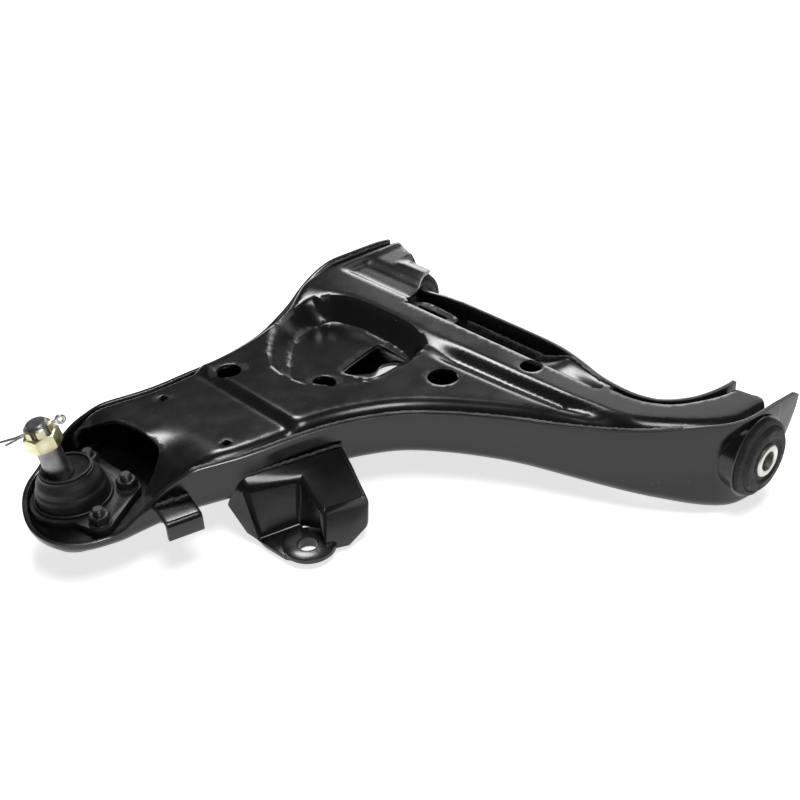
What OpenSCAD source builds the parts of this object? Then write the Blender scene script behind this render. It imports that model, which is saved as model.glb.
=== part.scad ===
// Lower control arm: two nested steel pressings, two pivot bushes, a bolted ball joint
// and two welded brackets. Millimetres. Origin: centre of the front bush bore.
// +X points outboard to the ball joint, +Y rearward along the pivot axis, +Z up.

/* [Sheet metal] */
// Thickness of both pressed shells
sheet_t = 3.2; // [3:0.1:3.6]
// Air gap between the nested shells
nest_gap = 0.9; // [0.6:0.1:1.2]
// Height of the ridge that runs along the chassis side
ridge_z = 30; // [28:0.5:32]
// Height of the flat web in the middle of the arm
web_z = 27; // [25:0.5:28]
// Height of the lower apron beside the ball joint
apron_z = 22; // [20:0.5:24]
// Depth of the square stamped pocket below the web
pocket_depth = 14; // [8:1:14]

/* [Bushes] */
// Distance between the two bush centres along the pivot axis
bush_pitch = 347; // [345:1:349]
// Length of the front inner sleeve
front_sleeve_len = 80; // [76:1:82]
// Length of the rear inner sleeve
rear_sleeve_len = 62; // [58:1:64]
// Bolt bore of the inner sleeves
sleeve_bore_d = 14.2; // [12.2:0.1:16.2]
// Outside diameter of the inner sleeves
sleeve_d = 23.6; // [22:0.2:25]
// Outside diameter of the pressed-in bush shell
bush_shell_d = 53.4; // [50:0.2:53.4]

/* [Ball joint] */
// Stud taper at its thick end
taper_d = 18; // [16:0.5:19]
// Nominal thread of the stud
thread_d = 15.6; // [13.6:0.1:15.8]
// Castle nut, size across flats
nut_af = 22; // [21:0.5:24]
// Lean of the stud from upright, towards the tip of the arm
stud_lean = 11; // [8:0.5:11]
// Outside diameter of the rubber boot at its foot
boot_d = 50; // [49:0.5:51]

/* [Bracket] */
// Hole in the round eye of the link bracket
eye_hole_d = 14; // [10:0.5:16]
// Outside radius of the round eye
eye_r = 18.5; // [16:0.5:19]
// Plate thickness of the link bracket
bracket_t = 4; // [3:0.5:5]

/* [Hidden] */

steel_black = [0.10, 0.10, 0.11];
zinc = [0.82, 0.78, 0.58];
rubber_black = [0.13, 0.13, 0.13];
bare_steel = [0.72, 0.72, 0.70];
hair = 0.02;

// ---- plan of the arm -----------------------------------------------------------------
// Outer faces of the lower shell, as [x, y]. Front side, from the chassis to the tip.
front_edge = [[-36, -27], [0, -31], [45, -34], [72, -29], [95, -16], [120, -3], [145, 8],
              [170, 13], [199, 15], [215, 13], [245, 12], [265, 8], [281, 3], [296, 1],
              [309, 0], [324, 1], [343, 5]];
// Rounded tip around the ball joint.
tip_edge = [[360, 15], [375, 33], [386, 58], [388, 78], [382, 97], [368, 109], [350, 115]];
// Side that faces the road wheel, from the tip back to the rear bush.
near_edge = [[320, 118], [296, 121], [275, 129], [252, 137], [215, 144], [186, 153],
             [162, 166], [146, 178], [130, 196], [114, 218], [99, 242], [87, 267], [74, 292],
             [62, 315], [46, 337], [30, 354], [13, 364], [-3, 366.5], [-21, 367], [-44, 367]];
// Chassis side, from the rear leg to the front leg.
chassis_edge = [[-44, 328], [-15, 327], [5, 320], [20, 308], [27, 292], [28, 275], [25, 252],
                [18, 232], [11, 205], [10, 165], [10, 75], [9, 55], [2, 40], [-10, 31],
                [-44, 29]];

function unit(v) = v / norm(v);
// One round of corner cutting on a closed outline.
function cut_corners(p) = [for (i = [0 : len(p) - 1], s = [0.25, 0.75])
    p[i] * (1 - s) + p[(i + 1) % len(p)] * s];
// Closed outline moved inward by d; the outline runs anticlockwise.
function inset(p, d) = [for (i = [0 : len(p) - 1])
    let (a = p[(i + len(p) - 1) % len(p)], b = p[(i + 1) % len(p)], t = unit(b - a))
    p[i] + d * [-t[1], t[0]]];
function smoothstep(a, b, x) = let (t = min(1, max(0, (x - a) / (b - a)))) t * t * (3 - 2 * t);

arm_outline = cut_corners(concat(front_edge, tip_edge, near_edge, chassis_edge));

// ---- side profile, as [x, z] ------------------------------------------------------------
// Underside: level from the tip to mid length, then deeper towards the pivot bushes.
belly = [[420, -5], [389, -8.5], [378, -14.5], [150, -14.5], [129, -16], [113, -17.5], [99, -19.5],
         [87, -22],
         [74, -26], [62, -29], [46, -33], [30, -37.5], [14, -41], [0, -42]];
// Top edge of the lower shell's wall.
wall_top = [[-20, 31], [36, 31], [50, 28], [62, 24.5], [75, 21.5], [95, 19.5], [290, 19.5],
            [312, 13], [330, 3], [348, -5], [420, -5]];
leg_round = [for (a = [260 : -10 : 170]) [37 * cos(a), 42 * sin(a)]];

module along_y() { rotate([-90, 0, 0]) children(); }

// The solid that a side profile sweeps across the whole arm.
module side_slab(profile) {
    translate([0, 420, 0]) rotate([90, 0, 0]) linear_extrude(height = 500) polygon(profile);
}

// ---- shells -----------------------------------------------------------------------------
module plan_prism(outline) {
    translate([0, 0, -60]) linear_extrude(height = 110) polygon(outline);
}

// Holes that the bush shells are pressed into.
module bush_seats() {
    translate([0, -60, 0]) along_y() cylinder(h = 104, d = bush_shell_d + 0.1, $fn = 64);
    translate([0, 316, 0]) along_y() cylinder(h = 84, d = bush_shell_d + 0.1, $fn = 64);
}

ball_c = [345, 53, -17];
rear_y = bush_pitch;
// Flange bolts, as [distance from the ball, angle].
bolt_spots = [[39.5, 85.5], [36.5, 149], [38.5, 223]];
// Four-sided window through the floor of the pocket.
window = [[84, 80], [128, 86], [130, 98], [120, 114], [85, 113]];

module lower_shell() color(steel_black) difference() {
    intersection() {
        plan_prism(arm_outline);
        side_slab(concat(wall_top, belly, leg_round));
    }
    intersection() {
        plan_prism(cut_corners(inset(concat(front_edge, tip_edge, near_edge, chassis_edge),
                                     sheet_t)));
        side_slab(concat([[-60, 60], [430, 60]], [for (p = belly) p + [0, sheet_t]],
                         [[-60, -42 + sheet_t]]));
    }
    // open ends of the two channel legs
    translate([-60, -26 + sheet_t - 2.5, -60]) cube([32, 54 - sheet_t, 120]);
    translate([-60, 328 + sheet_t, -60]) cube([32, 39 - 2 * sheet_t, 120]);
    // seats of the bush shells, and the short rear wall of the front leg
    bush_seats();
    translate([-60, 20, -60]) cube([49, 30, 120]);
    // room for the front leg's wrapped end and for its front corner
    translate([-60, 27, 23.5]) cube([74, 30, 40]);
    translate([-60, -24.7, 10]) cube([36, 30, 40]);
    // lightening hole in the floor, ball joint hole and its bolt holes
    translate([0, 0, -60]) linear_extrude(height = 60) polygon(floor_window);
    translate([200, 80, -60]) cylinder(h = 60, r = 16, $fn = 48);
    translate([ball_c[0], ball_c[1], -60]) cylinder(h = 60, r = 23.5, $fn = 64);
    flange_bolt_places() translate([0, 0, -60]) cylinder(h = 60, r = 4.3, $fn = 24);
}

// The thick edge of the rear ear, which sweeps up to a point beside the bush.
module rear_horn() color(steel_black)
    translate([0, 367, 0]) rotate([90, 0, 0]) linear_extrude(height = sheet_t)
        polygon([[-20.1, 31], [-47, 28], [-50, 26], [-47.5, 14], [-42, 3], [-36.6, -6],
                 [-36.6, 4]]);

// Wavy lightening hole in the floor, below the window of the pocket.
floor_window = cut_corners(cut_corners([[106, 61], [98, 64], [90, 68], [82, 69], [74, 65],
    [67, 59], [58, 56.5], [48, 57], [42, 64], [42, 78], [50, 98], [68, 112], [92, 112],
    [110, 98], [114, 76]]));

// Where the bolts of the ball joint stand.
module flange_bolt_places() {
    for (b = bolt_spots)
        translate([ball_c[0] + b[0] * cos(b[1]), ball_c[1] + b[0] * sin(b[1]), 0]) children();
}

// Height of the upper shell's outer surface over the plan point (x, y).
function ridge_fall(x) = smoothstep(58, 70, x);
function step_fall(x) = smoothstep(209, 221, x);
function pocket_fall(x, y) =
    1 - smoothstep(0.62, 1, pow(pow(abs(x - 124) / 60, 4) + pow(abs(y - 86) / 61, 4), 0.25));
function groove_fall(x, y) = 4 * exp(-pow((x - 70) / 6, 2))
    * smoothstep(135, 155, y) * (1 - smoothstep(250, 290, y));
function skin_z(x, y) = ridge_z - (ridge_z - web_z) * ridge_fall(x)
    - (web_z - apron_z) * step_fall(x) - pocket_depth * pocket_fall(x, y) - groove_fall(x, y);

// Turned-down border: [distance in from the edge, drop below the web] on the outer skin
// (inner = 0) and on the inner skin (inner = sheet thickness).
border_r = 9;
skirt = 15;
function border(inner) = concat([[inner, skirt]],
    [for (a = [90 : -22.5 : 0]) let (r = border_r - inner)
        [border_r - r * sin(a), border_r - r * cos(a)]]);

front_in = sheet_t + nest_gap;
function y_front(x) = lookup(x, front_edge);
near_lookup = [for (i = [len(near_edge) - 1 : -1 : 0]) near_edge[i]];
function y_near(x) = lookup(x, near_lookup);
function front_slope(x) = (y_front(x + 4) - y_front(x - 4)) / 8;
function near_slope(x) = (y_near(x + 4) - y_near(x - 4)) / 8;

// One row of points across the main panel at station x; mouth pulls the row's ends
// outboard so that the open end of the box is an arch in plan.
mid_steps = 28;
function main_row(x, inner, back_drop, mouth) =
    let (xe = x + mouth, sf = sqrt(1 + pow(front_slope(xe), 2)),
         sn = sqrt(1 + pow(near_slope(xe), 2)),
         b = border(inner), y0 = y_front(xe) + front_in * sf, y1 = y_near(xe) - front_in * sn,
         ya = y0 + border_r * sf, yb = y1 - border_r * sn, sag = mouth * 0.45)
    concat(
        [for (p = b) let (y = y0 + p[0] * sf)
            [xe, y, skin_z(x, ya) - p[1] - sag - back_drop * back_gate(y)]],
        [for (i = [1 : mid_steps - 1])
            let (y = ya + (yb - ya) * i / mid_steps, pull = pow(abs(2 * i / mid_steps - 1), 3))
            [x + mouth * pull, y, skin_z(x, y) - inner - sag * pull - back_drop * back_gate(y)]],
        [for (j = [len(b) - 1 : -1 : 0]) let (p = b[j], y = y1 - p[0] * sn)
            [xe, y, skin_z(x, yb) - p[1] - sag - back_drop * back_gate(y)]]);
// The chassis-side border is only there between the two legs.
function back_gate(y) = smoothstep(38, 62, y) * (1 - smoothstep(262, 290, y));

// Closed sheet between an outer and an inner grid of points of the same size.
module sheet(outer, inner) {
    n = len(outer);
    m = len(outer[0]);
    total = n * m;
    pts = concat([for (r = outer) for (p = r) p], [for (r = inner) for (p = r) p]);
    function at(i, j) = i * m + j;
    faces = concat(
        [for (i = [0 : n - 2], j = [0 : m - 2]) each
            [[at(i, j), at(i, j + 1), at(i + 1, j)],
             [at(i, j + 1), at(i + 1, j + 1), at(i + 1, j)]]],
        [for (i = [0 : n - 2], j = [0 : m - 2]) each
            [[total + at(i, j), total + at(i + 1, j), total + at(i, j + 1)],
             [total + at(i, j + 1), total + at(i + 1, j), total + at(i + 1, j + 1)]]],
        [for (j = [0 : m - 2]) each
            [[at(0, j), total + at(0, j), at(0, j + 1)],
             [at(0, j + 1), total + at(0, j), total + at(0, j + 1)],
             [at(n - 1, j), at(n - 1, j + 1), total + at(n - 1, j)],
             [at(n - 1, j + 1), total + at(n - 1, j + 1), total + at(n - 1, j)]]],
        [for (i = [0 : n - 2]) each
            [[at(i, 0), at(i + 1, 0), total + at(i, 0)],
             [at(i + 1, 0), total + at(i + 1, 0), total + at(i, 0)],
             [at(i, m - 1), total + at(i, m - 1), at(i + 1, m - 1)],
             [at(i + 1, m - 1), total + at(i, m - 1), total + at(i + 1, m - 1)]]]);
    polyhedron(points = pts, faces = faces);
}

main_x0 = 38;
main_stations = concat([for (a = [67.5 : -22.5 : 0]) main_x0 + border_r * (1 - sin(a))],
    [for (x = [52 : 5 : 202]) x], [207, 210, 213, 216, 219, 222],
    [for (x = [230 : 8 : 286]) x]);
function station_drop(x) = x >= main_x0 + border_r ? 0
    : border_r - sqrt(pow(border_r, 2) - pow(border_r - x + main_x0, 2));
function mouth_reach(x) = 30 * pow(max(0, (x - 230) / 56), 1.5);

// Flat row of the rear leg between its two borders, for one x station.
leg_steps = 5;
function leg_row(x, inner) =
    let (b = border(inner), y0 = lookup(x, rear_leg_edge), y1 = y_near(x) - front_in * sqrt(1 + pow(near_slope(x), 2)))
    concat([for (p = b) [x, y0 + p[0], ridge_z - p[1]]],
           [for (i = [1 : leg_steps - 1]) [x, y0 + border_r + (y1 - y0 - 2 * border_r) * i
                / leg_steps, ridge_z - inner]],
           [for (j = [len(b) - 1 : -1 : 0]) [x, y1 - b[j][0], ridge_z - b[j][1]]]);
// Saddle of the front leg: level at the ridge height in front, and wrapped down over the
// bush shell on its chassis side further back. Its rear edge is a raw sheared edge.
function saddle_z(x, y, inner) = let (w = x < 0 ? smoothstep(8, 20, y) : 0, r = ridge_z - inner)
    (1 - w) * r + w * sqrt(pow(r, 2) - pow(max(-22, min(0, x)), 2));
saddle_steps = 9;
function saddle_row(x, inner) =
    let (b = border(inner), y0 = y_front(x) + front_in, y1 = lookup(x, front_leg_edge),
         ya = y0 + border_r)
    concat([for (p = b) [x, y0 + p[0], ridge_z - p[1]]],
           [for (i = [1 : saddle_steps]) let (y = ya + (y1 - ya) * i / saddle_steps)
               [x, y, saddle_z(x, y, inner)]]);
// Inner edges of the legs in plan, as [x, y].
front_leg_edge = [[-31, -12], [-26, -4], [-20, 14], [-17, 36], [-10, 42], [4, 48], [14, 54],
                  [22, 60], [39, 62]];
rear_leg_edge = [[-22, 336], [-8, 331.5], [8, 324], [22, 314], [31, 300], [38, 286]];

module upper_shell() color(steel_black) difference() {
    union() {
        sheet([for (x = main_stations) main_row(x, 0, station_drop(x), mouth_reach(x))],
              [for (x = main_stations) main_row(x, sheet_t, station_drop(x), mouth_reach(x))]);
        sheet([for (x = [-31 : 3.5 : 39]) saddle_row(x, 0)],
              [for (x = [-31 : 3.5 : 39]) saddle_row(x, sheet_t)]);
        sheet([for (x = [-21 : 5 : 39]) leg_row(x, 0)],
              [for (x = [-21 : 5 : 39]) leg_row(x, sheet_t)]);
    }
    // round holes in the web and the pocket
    translate([202, 45, 0]) cylinder(h = 60, r = 9.5, $fn = 40);
    translate([101, 169, 0]) cylinder(h = 60, r = 11.5, $fn = 40);
    translate([51, 210, 0]) cylinder(h = 60, r = 8.5, $fn = 40);
    translate([150, 91, 0]) cylinder(h = 60, r = 9.5, $fn = 40);
    // window through the pocket floor
    linear_extrude(height = 60) polygon(window);
    // two square-holed locating points in the apron
    for (p = [[254, 31], [257, 113]])
        translate([p[0], p[1], 30]) cube([8, 8, 60], center = true);
    // notch at the end of the ridge
    translate([34, 268, 0]) cylinder(h = 60, r = 4, $fn = 24);
    // room for the bush shells between the turned-down borders
    bush_seats();
}

// ---- welds ------------------------------------------------------------------------------
// Round bar swept along a path, with flat ends; sides sets how many faces it has.
module bead(path, r, sides) {
    n = len(path);
    ring = [for (i = [0 : n - 1])
        let (t = unit(path[min(i + 1, n - 1)] - path[max(i - 1, 0)]),
             side = unit([t[1], -t[0], 0]), up = cross(side, t))
        for (k = [0 : sides - 1]) path[i]
            + r * (cos(360 * k / sides) * side + sin(360 * k / sides) * up)];
    faces = concat([[for (k = [0 : sides - 1]) k]],
        [for (i = [0 : n - 2], k = [0 : sides - 1]) let (k2 = (k + 1) % sides) each
            [[i * sides + k, (i + 1) * sides + k, i * sides + k2],
             [i * sides + k2, (i + 1) * sides + k, (i + 1) * sides + k2]]],
        [[for (k = [sides - 1 : -1 : 0]) (n - 1) * sides + k]]);
    polyhedron(points = ring, faces = faces);
}
function z_wall(x) = lookup(x, wall_top);
weld_r = 1.5;

module near_weld_bead() color(steel_black)
    bead([for (x = [44 : 8 : 292]) [x, y_near(x) - (sheet_t + 0.3)
        * sqrt(1 + pow(near_slope(x), 2)), z_wall(x) + 0.2]], weld_r, 8);

module front_weld_bead() color(steel_black)
    bead([for (x = [-30 : 8 : 66]) [x, y_front(x) + sheet_t + 0.6, z_wall(x) - 1.5]],
         weld_r + 0.4, 8);

// Welded strip in the open gutter between the ridge and the chassis-side wall.
module back_wall_strip() color(steel_black)
    translate([21, 64, 17]) difference() {
        cube([17.6, 46, 3]);
        translate([4, 5, -1]) cube([5, 36, 5]);
    }

// ---- bushes -----------------------------------------------------------------------------
tube_t = 2;
ring_t = 2;
// Pressed-in steel shell, turned out by lip at its rear end. z runs along the shell.
module bush_shell(front, rear, lip) {
    rotate_extrude($fn = 72) polygon([
        [bush_shell_d / 2 - tube_t, front], [bush_shell_d / 2, front],
        [bush_shell_d / 2, rear - ring_t], [bush_shell_d / 2 + lip, rear - ring_t],
        [bush_shell_d / 2 + lip, rear], [bush_shell_d / 2 - tube_t, rear]]);
}
// Moulded rubber: a plug inside the shell and a stepped collar of radius collar behind it.
module bush_rubber(front, shell_rear, face, collar) {
    inner = sleeve_d / 2 + 0.05;
    plug = bush_shell_d / 2 - tube_t - 0.05;
    rotate_extrude($fn = 72) polygon([
        [inner, front], [plug - 5, front], [plug, front + 4], [plug, shell_rear + 0.1],
        [collar, shell_rear + 0.1], [collar, shell_rear + 3],
        [collar - 1.5, shell_rear + 4.5], [24, face], [inner + 3.2, face],
        [inner + 3.2, face - 1.6], [inner, face - 1.6]]);
}
module inner_sleeve(length) {
    rotate_extrude($fn = 72) polygon([
        [sleeve_bore_d / 2, -length / 2], [sleeve_d / 2 - 0.6, -length / 2],
        [sleeve_d / 2, -length / 2 + 0.6], [sleeve_d / 2, length / 2 - 0.6],
        [sleeve_d / 2 - 0.6, length / 2], [sleeve_bore_d / 2, length / 2]]);
}
front_ring_y = 33.2;
rear_ring_y = 369.2 - rear_y;
module front_bush_housing() color(steel_black) along_y() bush_shell(-33, front_ring_y, 0.02);
module rear_bush_housing() color(steel_black)
    translate([0, rear_y, 0]) along_y() bush_shell(-25, rear_ring_y, 3.3);
module front_bush_rubber() color(rubber_black)
    along_y()
        bush_rubber(-38, front_ring_y, front_sleeve_len / 2 - 0.6, bush_shell_d / 2 - 0.6);
module rear_bush_rubber() color(rubber_black)
    translate([0, rear_y, 0]) along_y()
        bush_rubber(-29, rear_ring_y, rear_sleeve_len / 2 - 0.6, bush_shell_d / 2 + 1.3);
module front_inner_sleeve() color(bare_steel) along_y() inner_sleeve(front_sleeve_len);
module rear_inner_sleeve() color(bare_steel)
    translate([0, rear_y, 0]) along_y() inner_sleeve(rear_sleeve_len);

// ---- brackets ---------------------------------------------------------------------------
// Local axes on the outer wall: x along the wall towards the tip, y straight out of it.
module on_wall(x, y, turn) { translate([x, y, 0]) rotate([0, 0, turn]) children(); }
// Flat plate standing across the arm: a polygon in (y, z), thick along x.
module cross_plate(x, t, outline) {
    translate([x, 0, 0]) rotate([90, 0, 90]) linear_extrude(height = t) polygon(outline);
}
bracket_out = 43;
shelf_top = 3;
shelf_low = -13.5;
// Lean of the apron outwards from upright.
apron_lean = 24.2;
// Hole centre and top face of the eye.
eye_c = [12.3, 43.1, -34.8];
eye_t = 3.8;
module link_bracket() color(steel_black) on_wall(222.5, 144.1, -16) union() {
    // sloping shelf of the right half and the apron folded down from it
    cross_plate(-37, 38, [[-1.2, shelf_top - bracket_t], [-1.2, shelf_top + 0.4],
        [bracket_out, shelf_low], [bracket_out, shelf_low - bracket_t]]);
    translate([0, bracket_out, shelf_low]) rotate([90 + apron_lean, 0, 0])
        linear_extrude(height = bracket_t)
            polygon([[3, 0], [-30, 0], [-37, -5], [-31.6, -18.9], [-12.4, -29], [3, -30]]);
    // steep panel of the left half
    cross_plate(-3, 42, [[-1.2, shelf_top - 2], [-1.2, shelf_top + 3], [2.5, shelf_top + 3],
        [17, -34.8], [17, -38.4], [12, -38.4]]);
    // three-cornered web between the two halves
    cross_plate(-1, bracket_t, [[0, shelf_top], [bracket_out, shelf_low - 0.5],
        [bracket_out + 8, -34], [16, -38.4]]);
    // turned-back ends
    intersection() {
        cross_plate(34, 22, [[-1.2, shelf_top], [4, shelf_top], [17.2, -34.8], [17, -38.4],
            [12, -38.4], [-1.2, -16]]);
        linear_extrude(height = 120, center = true)
            polygon([[34, 22], [38.6, 22], [54, -3], [49.4, -3]]);
    }
    cross_plate(-37, bracket_t, [[0, shelf_top], [bracket_out, shelf_low],
        [bracket_out + 2, -17], [30, -20], [8, -14]]);
}
// Round eye on a floor that reaches back to the panel, over a short hub.
module link_bracket_eye() color(steel_black) on_wall(222.5, 144.1, -16)
    translate([0, 0, eye_c[2] - eye_t]) difference() {
        union() {
            translate([eye_c[0] - 1.2, eye_c[1], 0]) cylinder(h = eye_t, r = eye_r, $fn = 64);
            linear_extrude(height = eye_t - 0.1)
                polygon([[4, 13], [39, 13], [37, 26], [29, 46], [12, 50], [4, 46]]);
            translate([eye_c[0], eye_c[1], -5]) cylinder(h = 6, r = 10.5, $fn = 48);
        }
        translate([eye_c[0], eye_c[1], -6]) cylinder(h = 14, d = eye_hole_d, $fn = 48);
    }
module stop_tab() color(steel_black) on_wall(311, 119.2, -14) union() {
    translate([-15.5, -2.6, 0]) cube([25, 26.6, 4]);
    translate([-15.5, 20, -10]) cube([25, 4, 14]);
}

// ---- ball joint -------------------------------------------------------------------------
floor_top = -14.5 + sheet_t;
flange_top = floor_top + 4.6;
ball_r = 13.5;
socket_r = 17;
// Rounded three-cornered flange: an arc round the socket and a lobe round each bolt.
flange_outline = concat(
    [for (a = [250 : 12 : 418]) 30 * [cos(a), sin(a)]],
    [for (b = bolt_spots, a = [b[1] - 50 : 20 : b[1] + 50])
        b[0] * [cos(b[1]), sin(b[1])] + 9 * [cos(a), sin(a)]]);
module at_ball() { translate(ball_c) children(); }
module ball_joint_housing() color(steel_black) difference() {
    union() {
        translate([ball_c[0], ball_c[1], floor_top + 0.1])
            linear_extrude(height = flange_top - floor_top - 0.1) polygon(flange_outline);
        translate([ball_c[0], ball_c[1], -38]) cylinder(h = 30, r = 23, $fn = 72);
    }
    at_ball() rotate_extrude($fn = 72) polygon([
        [0, -30], [socket_r + 3, -30], [socket_r + 3, -18], [socket_r, -18], [socket_r, 8.5],
        [14.6, 8.5], [15.6, 20], [0, 20]]);
    flange_bolt_places() translate([0, 0, -60]) cylinder(h = 60, r = 4.2, $fn = 32);
}
// Plastic liner that holds the ball.
module ball_seat() color([0.85, 0.84, 0.78]) at_ball() difference() {
    rotate_extrude($fn = 72) polygon([[5, -14.2], [socket_r - 0.1, -14.2],
        [socket_r - 0.1, 8.3], [0, 8.3], [0, -14.2]]);
    sphere(r = ball_r + 0.08, $fn = 96);
    translate([0, 0, 6]) cylinder(h = 10, r = 12.2, $fn = 64);
}
// Dished spring washer that keeps the seat tight on the ball.
module preload_washer() color(bare_steel) at_ball()
    rotate_extrude($fn = 72) polygon([[6, -15.2], [16.4, -17.2], [16.4, -18], [6, -16]]);
module housing_cap() color(steel_black) at_ball() union() {
    translate([0, 0, -20.8]) cylinder(h = 2.75, r = socket_r + 2.95, $fn = 72);
    translate([0, 0, -22.4]) cylinder(h = 1.6, r = 10, $fn = 72);
}

// Axis of the stud, leaning towards the tip and forwards.
lean_dir = -40;
module on_stud() { at_ball() rotate([0, 0, lean_dir]) rotate([0, stud_lean, 0])
    rotate([0, 0, -lean_dir]) children(); }
nut_base = 54.5;
nut_body = 10.5;
nut_top = 17;
pin_h = 68.1;
pin_dir = -17;
pin_r = 1.45;
module ball_stud() color(bare_steel) on_stud() difference() {
    union() {
        sphere(r = ball_r, $fn = 96);
        rotate_extrude($fn = 64) polygon([[0, 0], [7.6, 0], [7.6, 24], [taper_d / 2, 29],
            [taper_d / 2, 33], [thread_d / 2 + 0.4, nut_base - 0.5], [thread_d / 2, nut_base],
            [thread_d / 2, 72.4], [thread_d / 2 - 1.2, 73.6], [0, 73.6]]);
    }
    translate([0, 0, pin_h]) rotate([0, 0, pin_dir]) rotate([0, 90, 0])
        translate([0, 0, -20]) cylinder(h = 40, r = pin_r + 0.2, $fn = 24);
}
module castle_nut() color(zinc) on_stud() translate([0, 0, nut_base]) difference() {
    intersection() {
        rotate([0, 0, pin_dir]) cylinder(h = nut_top, r = nut_af / 2 / cos(30), $fn = 6);
        rotate_extrude($fn = 72) polygon([[0, 0], [nut_af / 2, 0], [nut_af / 2 + 2.4, 1.4],
            [nut_af / 2 + 2.4, nut_body - 1], [nut_af / 2 - 1.2, nut_body + 0.6],
            [nut_af / 2 - 1.2, nut_top - 1], [nut_af / 2 - 2.2, nut_top], [0, nut_top]]);
    }
    translate([0, 0, -1]) cylinder(h = nut_top + 2, r = thread_d / 2 + 0.03, $fn = 64);
    for (k = [0 : 2]) rotate([0, 0, pin_dir + 60 * k])
        translate([-20, -2.1, nut_body]) cube([40, 4.2, 10]);
}
// Split pin: eye on the inboard side, long legs on the other, turned a little aside.
module cotter_pin() color(bare_steel) on_stud() translate([0, 0, pin_h])
    rotate([0, 0, pin_dir]) union() {
        rotate([0, 90, 0]) translate([0, 0, -13]) cylinder(h = 28, r = pin_r, $fn = 32);
        translate([15, 0, 0]) sphere(r = pin_r, $fn = 32);
        translate([15, 0, 0]) rotate([0, 0, -24]) rotate([0, 86, 0])
            cylinder(h = 24, r = pin_r, $fn = 32);
        translate([-15.5, 0, 0]) rotate([90, 0, 0])
            rotate_extrude($fn = 48) translate([2.6, 0]) circle(r = 1.3, $fn = 20);
    }

// Rubber boot. Rings are [height over the ball, radius]. The foot is flat on the flange, the
// rim leans a little, and the narrow lip inside it leans with the stud.
boot_tilt = 2;
boot_outer = [[10.35, boot_d / 2], [14, boot_d / 2], [19, boot_d / 2 - 0.4],
              [21.5, boot_d / 2 - 1.8], [25, boot_d / 2 - 2.2], [28.5, 21], [31, 19.2],
              [33, 18.6], [33.4, 17.6]];
boot_inner = [[33.2, 15.6], [28.5, 9.6], [26.3, 9.6], [25.5, 17.5], [23.5, 19.6], [20, 20.4],
              [17, 21.8], [10.35, 22.2]];
boot_sides = 40;
function boot_lean(h, r) = r < 10 ? stud_lean : boot_tilt * smoothstep(12, 30, h);
function lean_point(h, r, a) =
    let (t = boot_lean(h, r), x = r * cos(a), d = x * cos(t) + h * sin(t), y = r * sin(a))
    ball_c + [d * cos(lean_dir) - y * sin(lean_dir), d * sin(lean_dir) + y * cos(lean_dir),
              h * cos(t) - x * sin(t)];
module dust_boot() color(rubber_black) {
    rings = concat(boot_outer, boot_inner);
    n = len(rings);
    pts = [for (g = rings, k = [0 : boot_sides - 1]) lean_point(g[0], g[1],
                                                                360 * k / boot_sides)];
    polyhedron(points = pts, faces = [for (i = [0 : n - 1], k = [0 : boot_sides - 1])
        let (a = i * boot_sides + k, b = i * boot_sides + (k + 1) % boot_sides,
             c = ((i + 1) % n) * boot_sides + k,
             d = ((i + 1) % n) * boot_sides + (k + 1) % boot_sides)
        each [[a, c, b], [b, c, d]]]);
}
module boot_clamp_ring() color(bare_steel) at_ball() translate([0, 0, 11.6])
    rotate_extrude($fn = 72) translate([boot_d / 2 + 1.15, 0]) circle(r = 1.1, $fn = 20);
module boot_lip_ring() color(steel_black) at_ball() rotate([0, 0, lean_dir])
    rotate([0, boot_tilt, 0]) translate([0, 0, 34.4])
    rotate_extrude($fn = 72) translate([16.9, 0]) circle(r = 0.9, $fn = 20);

// ---- ball joint fasteners ---------------------------------------------------------------
bolt_d = 8;
hex_af = 13;
nut_h = 7.5;
bolt_stand = 5;
module flange_bolts() color(steel_black) flange_bolt_places() {
    translate([0, 0, -14.6 - 5.3]) cylinder(h = 5.3, r = hex_af / 2 / cos(30), $fn = 6);
    translate([0, 0, -15]) cylinder(h = flange_top + nut_h + bolt_stand + 15 - 0.8,
                                    d = bolt_d, $fn = 32);
    translate([0, 0, flange_top + nut_h + bolt_stand - 0.8])
        cylinder(h = 0.8, d = bolt_d - 1.6, $fn = 32);
}
module flange_nuts() color(steel_black) flange_bolt_places()
    translate([0, 0, flange_top + 0.05]) difference() {
        union() {
            cylinder(h = 1.2, d = 16, $fn = 40);
            cylinder(h = nut_h, r = hex_af / 2 / cos(30), $fn = 6);
        }
        translate([0, 0, -1]) cylinder(h = nut_h + 2, d = bolt_d + 0.08, $fn = 32);
    }

upper_shell();
lower_shell();
rear_horn();
near_weld_bead();
front_weld_bead();
back_wall_strip();
front_bush_housing();
rear_bush_housing();
front_bush_rubber();
rear_bush_rubber();
front_inner_sleeve();
rear_inner_sleeve();
link_bracket();
link_bracket_eye();
stop_tab();
ball_joint_housing();
ball_seat();
preload_washer();
housing_cap();
dust_boot();
boot_clamp_ring();
boot_lip_ring();
ball_stud();
castle_nut();
cotter_pin();
flange_bolts();
flange_nuts();
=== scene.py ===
"""Looks of a pressed-steel lower control arm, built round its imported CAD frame."""
import math

import bpy
import numpy as np
from mathutils import Matrix, Vector, noise
from mathutils.geometry import delaunay_2d_cdt


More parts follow.
